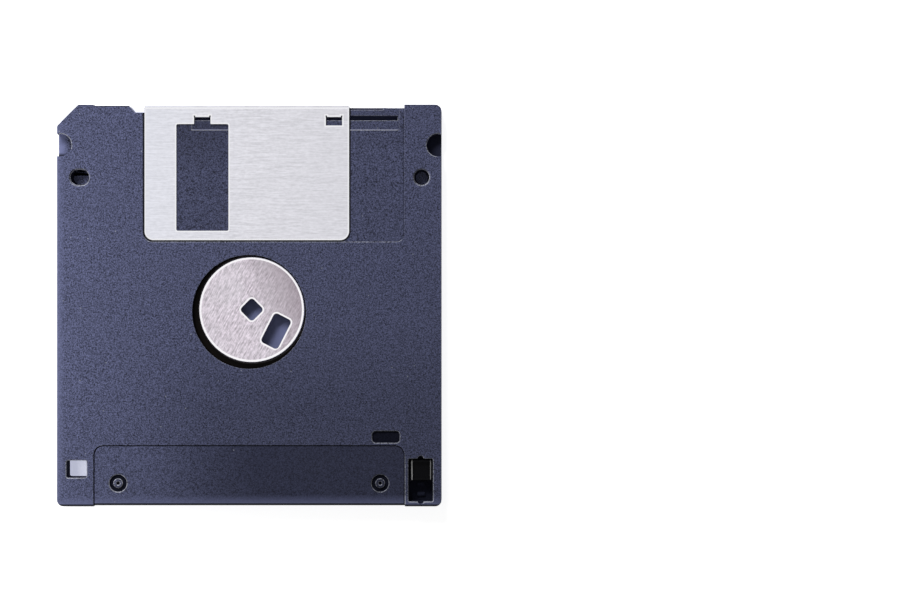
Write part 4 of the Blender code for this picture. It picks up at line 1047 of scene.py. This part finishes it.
def pick_deep_faces(bm):
    """Gives the third material, dark with painted shade, to a shell's faces in slots, pits and
    inside and to the arrow's floor, and to a line of painted shade round the label's and the pin
    holes' floors. The case's sides, the left notch and the pin holes' floors, which the light
    reaches, keep the first one."""
    for face in bm.faces:
        place = face.calc_center_median()
        depth = below_face(place)
        upright = abs(face.normal.z) < UPRIGHT_NORMAL
        notch = place.x < 0.0 and inside_outline(place) < CORNER_ZONE and place.y > NOTCH_ZONE
        kept = notch or (is_outer_side(place, face.normal) if upright else is_pin_floor(place))
        arrow = is_level(face) and abs(depth - ARROW_DEPTH) < LEVEL_ERROR
        if depth > (MARK_FLOOR if place.y < MARK_ZONE else DEEP_FROM) and not kept or arrow:
            face.material_index = 2
    line_floors(bm, is_label_floor, LABEL_LINE)
    line_floors(bm, is_pin_floor, PIN_RING)


def middle(node):
    """The middle of a CAD node's box."""
    low, high = cad_box(node)
    return (low + high) / 2


class CARTRIDGE_OT_shells(bpy.types.Operator):
    """Replace both shells with closed copies that have fine rounded edges"""

    bl_idname = "cartridge.shells"
    bl_label = "Shells"

    def execute(self, context):
        shape = context.scene.cartridge_case
        body = case_material("case_moulding", shape, shape.body, 0.020 * MM, 0.52, 0.2)
        # The edges take a lighter copy of the plastic: a painted highlight
        edge = case_material("case_edge", shape, shape.edge, 0.004 * MM, 0.36, 0.12)
        # Faces in slots and pits take a darker copy: painted shade
        deep = deep_material(shape.body)
        for node in ("lower_shell", "upper_shell"):
            shell = merged_copy(node, node + "_moulding", shell_weight, pick_deep_faces)
            dress(shell, "case_plastic", body, edge, deep)
            round_edges(shell, shape.edge_width)
        return {"FINISHED"}


class CARTRIDGE_OT_shutter(bpy.types.Operator):
    """Replace the shutter with a closed copy whose rounded cut edges have a painted highlight"""

    bl_idname = "cartridge.shutter"
    bl_label = "Shutter"

    def execute(self, context):
        shape = context.scene.cartridge_shutter
        shutter = merged_copy("shutter", "shutter_sheet", sheet_weight, outline_sheet_faces)
        # The cut edges and the bands take a painted highlight
        cut = metal_light_and_shade_material("shutter_cut", shape.cut, 0.25)
        dress(shutter, "shutter_metal", sheet_material(shape), cut)
        round_edges(shutter, shape.edge_width)
        return {"FINISHED"}


class CARTRIDGE_OT_spring(bpy.types.Operator):
    """Replace the faceted spring with a smooth wire that runs between the case and the shutter"""

    bl_idname = "cartridge.spring"
    bl_label = "Spring"

    def execute(self, context):
        shape = context.scene.cartridge_shutter
        tip, anchor, path = spring_path(shape.wire)
        spring = tube("spring_wire", path, shape.wire / 2, SPRING_SIDES)
        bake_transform(spring)
        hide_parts("shutter_spring")
        dress(spring, "spring_wire", wire_material())
        return {"FINISHED"}


def outline_sheet_faces(bm):
    """Sets narrow bands in both outer faces of the shutter, round its edges and its window, and
    gives them the second material, a painted highlight, except along the fold."""
    low, high = cad_box("shutter")
    faces = level_faces(bm, lambda place: min(place.z - low.z, high.z - place.z) < LEVEL_ERROR)
    for face in inset(bm, faces, SHEET_BAND):
        if face.calc_center_median().y < high.y - FOLD_ZONE:
            face.material_index = 1


def outline_hub_face(bm):
    """Sets narrow bands in the hub's outer face, wider round its holes, and gives them and the
    pressed rim the second material, a painted highlight. What lies deeper gets the third one,
    painted shade."""
    level = max(vert.co.z for vert in bm.verts)
    centre = middle("hub")
    tops = level_faces(bm, lambda place: place.z > level - LEVEL_ERROR)
    for width, reach in ((HUB_BAND, HUB_ZONE), (HUB_HOLE_BAND, HUB_HOLE_ZONE)):
        for face in inset(bm, tops, width):
            if (face.calc_center_median() - centre).xy.length < reach:
                face.material_index = 1
    for face in bm.faces:
        below = level - face.calc_center_median().z
        curved = HUB_CURVE_NORMAL < face.normal.z < LEVEL_NORMAL
        if curved and below < HUB_CURVE_DEPTH:
            face.material_index = 1
        elif below > HUB_SHADE_DEPTH:
            face.material_index = 2


class CARTRIDGE_OT_hub(bpy.types.Operator):
    """Replace the hub with a closed copy with painted highlights on its pressed rims and painted
    shade below its face
    """

    bl_idname = "cartridge.hub"
    bl_label = "Hub"

    def execute(self, context):
        shape = context.scene.cartridge_disc
        hub = merged_copy("hub", "hub_pressing", lambda place, wall: 1.0, outline_hub_face)
        # A painted highlight on the rims and bands, and painted shade on the lower faces
        rim = metal_light_and_shade_material("hub_rim", shape.rim, 0.22)
        shade = metal_light_and_shade_material("hub_shade", HUB_SHADE, 0.6)
        dress(hub, "hub_steel", hub_material(shape), rim, shade)
        round_edges(hub, shape.edge_width)
        return {"FINISHED"}


class CARTRIDGE_OT_disc(bpy.types.Operator):
    """Give the disc, its bonding ring, the liners and the leaf their finishes"""

    bl_idname = "cartridge.disc"
    bl_label = "Disc and liners"

    def execute(self, context):
        shape = context.scene.cartridge_disc
        nodes = frame["nodes"]
        bond = plain_film_material("bond_film_sheet", BOND_TONE, 0.5)
        leaf = plain_film_material("leaf_film_sheet", LEAF_TONE, 0.3)
        cloth = cloth_material()
        dress(nodes["magnetic_disc"], "medium_coating", medium_material(shape))
        dress(nodes["bonding_ring"], "bond_film", bond)
        dress(nodes["lifter_leaf"], "leaf_film", leaf)
        for node in ("lower_liner", "upper_liner"):
            dress(nodes[node], "liner_cloth", cloth)
        return {"FINISHED"}


class CARTRIDGE_OT_slider(bpy.types.Operator):
    """Replace the write-protect slider with a closed copy that has rounded ridges"""

    bl_idname = "cartridge.slider"
    bl_label = "Slider"

    def execute(self, context):
        slider = merged_copy("write_protect_tab", "slider_block", slider_weight)
        body = slider_material("slider_black", SLIDER_TONE, 0.42, 0.04)
        dress(slider, "slider_plastic", body, body)
        round_edges(slider, RIDGE_ROUNDING)
        return {"FINISHED"}


def backdrop_rays(tree):
    """1 for the rays that see the backdrop or its reflection, 0 for those that light things."""
    path = add(tree, "LightPath").outputs
    kinds = ("Camera", "Glossy", "Transmission")
    return largest(tree, *[path[f"Is {kind} Ray"] for kind in kinds])


class CARTRIDGE_OT_stage(bpy.types.Operator):
    """Lay a white floor, hang two lamps and set the camera straight above"""

    bl_idname = "cartridge.stage"
    bl_label = "Stage"

    def execute(self, context):
        shape = context.scene.cartridge_stage
        scene = context.scene
        self.lay_floor(shape)
        self.light_world(scene, shape)
        for name, place, size, setting in LAMPS:
            self.hang_lamp(name, place, size, getattr(shape, setting))
        self.set_camera(scene)
        scene.view_settings.view_transform = "Standard"
        return {"FINISHED"}

    def lay_floor(self, shape):
        """A wide white floor that keeps some of the shadow, and is clear from below. Under the
        cartridge it
        glows dimmer and tinted for all rays: a painted shadow in the holes, and a glow that lights
        the label side so that it can be seen."""
        signs = ((-1, -1), (1, -1), (1, 1), (-1, 1))
        corners = [(x * FLOOR_HALF, y * FLOOR_HALF, FLOOR_LEVEL) for x, y in signs]
        mesh = bpy.data.meshes.new("floor")
        mesh.from_pydata(corners, [], [(0, 1, 2, 3)])
        floor = new_object("floor", mesh)
        material, tree, shader, place = blank_material("floor_white", 0.9, shine=0.0)
        paint(tree, shader, (*shape.floor, 1.0))
        parts = axes(tree, place)
        # Under the cartridge the glow is dimmer and tinted and reaches all rays: a painted shadow
        # that also lights the label side
        covered = product(
            tree,
            band(tree, parts["X"], 0.0, HALF_WIDTH - COVERED_INSET),
            band(tree, parts["Y"], 0.0, HALF_LENGTH - LAND_STEP - COVERED_INSET),
        )
        glow = product(tree, backdrop_rays(tree), FLOOR_GLOW)
        glows = {"Factor": covered, "A": glow, "B": COVERED_SHADOW_GLOW}
        glow = add(tree, "Mix", glows, data_type="FLOAT").outputs[0]
        wire(tree, shader.inputs["Emission Strength"], glow)
        wire(tree, shader.inputs["Emission Color"], mixed(tree, covered, WHITE, COVERED_SHADOW_TINT))
        below = add(tree, "NewGeometry").outputs["Backfacing"]
        clear = add(tree, "BsdfTransparent").outputs[0]
        either = add(tree, "MixShader", {0: below, 1: shader.outputs[0], 2: clear})
        wire(tree, tree.nodes["Material Output"].inputs["Surface"], either.outputs[0])
        mesh.materials.append(material)

    def light_world(self, scene, shape):
        """Even light from all round, seen as white."""
        world = bpy.data.worlds.new("studio")
        world.use_nodes = True
        tree = world.node_tree
        tint = tree.nodes["Background"].inputs
        tint["Color"].default_value = WHITE
        light = spread(tree, backdrop_rays(tree), 0.0, 1.0, shape.ambient, 1.0)
        wire(tree, tint["Strength"], light)
        scene.world = world

    def hang_lamp(self, name, place, size, power):
        """A soft lamp that faces the cartridge, with its first size level. It doesn't show."""
        lamp = bpy.data.lights.new(name, "AREA")
        lamp.shape = "RECTANGLE"
        lamp.size, lamp.size_y = size
        lamp.energy = power
        thing = new_object(name, lamp)
        thing.location = place
        thing.rotation_euler = (-Vector(place)).to_track_quat("-Z", "Y").to_euler()
        thing.visible_camera = False
        thing.visible_glossy = False

    def set_camera(self, scene):
        """Straight above, where the photograph was taken from."""
        camera = bpy.data.cameras.new("camera")
        view_width = PICTURE_WIDTH / PIXELS_PER_MM * MM
        camera.sensor_width = SENSOR_WIDTH
        camera.lens = SENSOR_WIDTH * CAMERA_HEIGHT / view_width
        camera.clip_start = CAMERA_NEAR
        scene.camera = new_object("camera", camera)
        scene.camera.location = (CAMERA_X, CAMERA_Y, TOP + CAMERA_HEIGHT)


def spring_path(wire_width):
    """The ends of both legs and the points along the wire: a leg, a coil and a second leg, which
    leave the coil as tangents. On the coil the angle grows evenly from one tangent to the other
    while the height rises by one pitch a turn. The ends lie inside the CAD spring's box."""
    low, high = cad_box("shutter_spring")
    inside = wire_width / 2
    rise = SPRING_PITCH * SPRING_TURNS
    base = (low.z + high.z - rise) / 2
    tip = Vector((low.x + inside * SPRING_END_INSET, high.y - inside, base))
    anchor = Vector((high.x - inside * SPRING_END_INSET, high.y - inside, base + rise))
    half = (anchor.x - tip.x) / 2
    leg = half * SPRING_LEG_SPREAD
    drop = math.sqrt(leg**2 - half**2)
    lean = math.atan2(drop, half) + math.asin(SPRING_COIL_RADIUS / leg)
    share = np.linspace(0.0, 1.0, SPRING_COIL_POINTS)
    angle = -lean - math.pi / 2 + share * (2 * math.pi * SPRING_TURNS + 2 * lean)
    across = tip.x + half + SPRING_COIL_RADIUS * np.cos(angle)
    along = tip.y - drop + SPRING_COIL_RADIUS * np.sin(angle)
    coil = np.stack([across, along, base + rise * share], axis=-1)
    steps = np.linspace(0.0, 1.0, SPRING_LEG_POINTS)[:, None]
    first = np.array(tip) + (coil[0] - np.array(tip)) * steps
    last = coil[-1] + (np.array(anchor) - coil[-1]) * steps
    return tip, anchor, np.concatenate([first[:-1], coil, last[1:]])


def tube(name, path, radius, sides):
    """A round tube along a path that stays nearly level. Each ring lies across the path, with
    point = centre + radius * (cos(a) * side + sin(a) * up), and a flat face closes each end."""
    ahead = np.gradient(path, axis=0)
    ahead /= np.linalg.norm(ahead, axis=1)[:, None]
    side = np.cross(ahead, [0.0, 0.0, 1.0])
    side /= np.linalg.norm(side, axis=1)[:, None]
    up = np.cross(side, ahead)
    angle = np.linspace(0.0, 2 * math.pi, sides, endpoint=False)[None, :, None]
    outward = side[:, None, :] * np.cos(angle) + up[:, None, :] * np.sin(angle)
    rings = path[:, None, :] + radius * outward
    faces = grid_faces(len(path), sides).tolist()
    last = (len(path) - 1) * sides
    faces.append(list(range(sides)))
    faces.append(list(range(last + sides - 1, last - 1, -1)))
    mesh = bpy.data.meshes.new(name)
    mesh.from_pydata(rings.reshape(-1, 3).tolist(), [], faces)
    mesh.shade_smooth()
    mesh.set_sharp_from_angle(angle=SMOOTH_ANGLE)
    return new_object(name, mesh)


class CARTRIDGE_PT_panel(bpy.types.Panel):
    """Lists the cartridge's steps and sizes"""

    bl_idname = "CARTRIDGE_PT_panel"
    bl_label = "Cartridge"
    bl_space_type = "VIEW_3D"
    bl_region_type = "UI"
    bl_category = "Cartridge"

    def draw(self, context):
        layout = self.layout
        for operator in STEPS:
            layout.operator(operator.bl_idname)
        for name, group_class in SETTINGS.items():
            box = layout.box()
            box.label(text=group_class.__doc__)
            for key in group_class.__annotations__:
                box.prop(getattr(context.scene, name), key)


SETTINGS = {
    "cartridge_case": CartridgeCase,
    "cartridge_shutter": CartridgeShutter,
    "cartridge_disc": CartridgeDisc,
    "cartridge_stage": CartridgeStage,
}
STEPS = (
    CARTRIDGE_OT_shells,
    CARTRIDGE_OT_shutter,
    CARTRIDGE_OT_spring,
    CARTRIDGE_OT_hub,
    CARTRIDGE_OT_disc,
    CARTRIDGE_OT_slider,
    CARTRIDGE_OT_stage,
)
CLASSES = (*SETTINGS.values(), *STEPS, CARTRIDGE_PT_panel)


def register():
    """Adds the classes, and the settings to the scene."""
    for item in CLASSES:
        bpy.utils.register_class(item)
    for name, group_class in SETTINGS.items():
        setattr(bpy.types.Scene, name, PointerProperty(type=group_class))


def unregister():
    """Takes the settings and the classes away again."""
    for name in SETTINGS:
        delattr(bpy.types.Scene, name)
    for item in reversed(CLASSES):
        bpy.utils.unregister_class(item)


def main():
    """Dresses the cartridge and sets its stage."""
    register()
    for step in STEPS:
        area, name = step.bl_idname.split(".")
        getattr(getattr(bpy.ops, area), name)()
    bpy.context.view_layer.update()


if __name__ == "__main__":
    main()
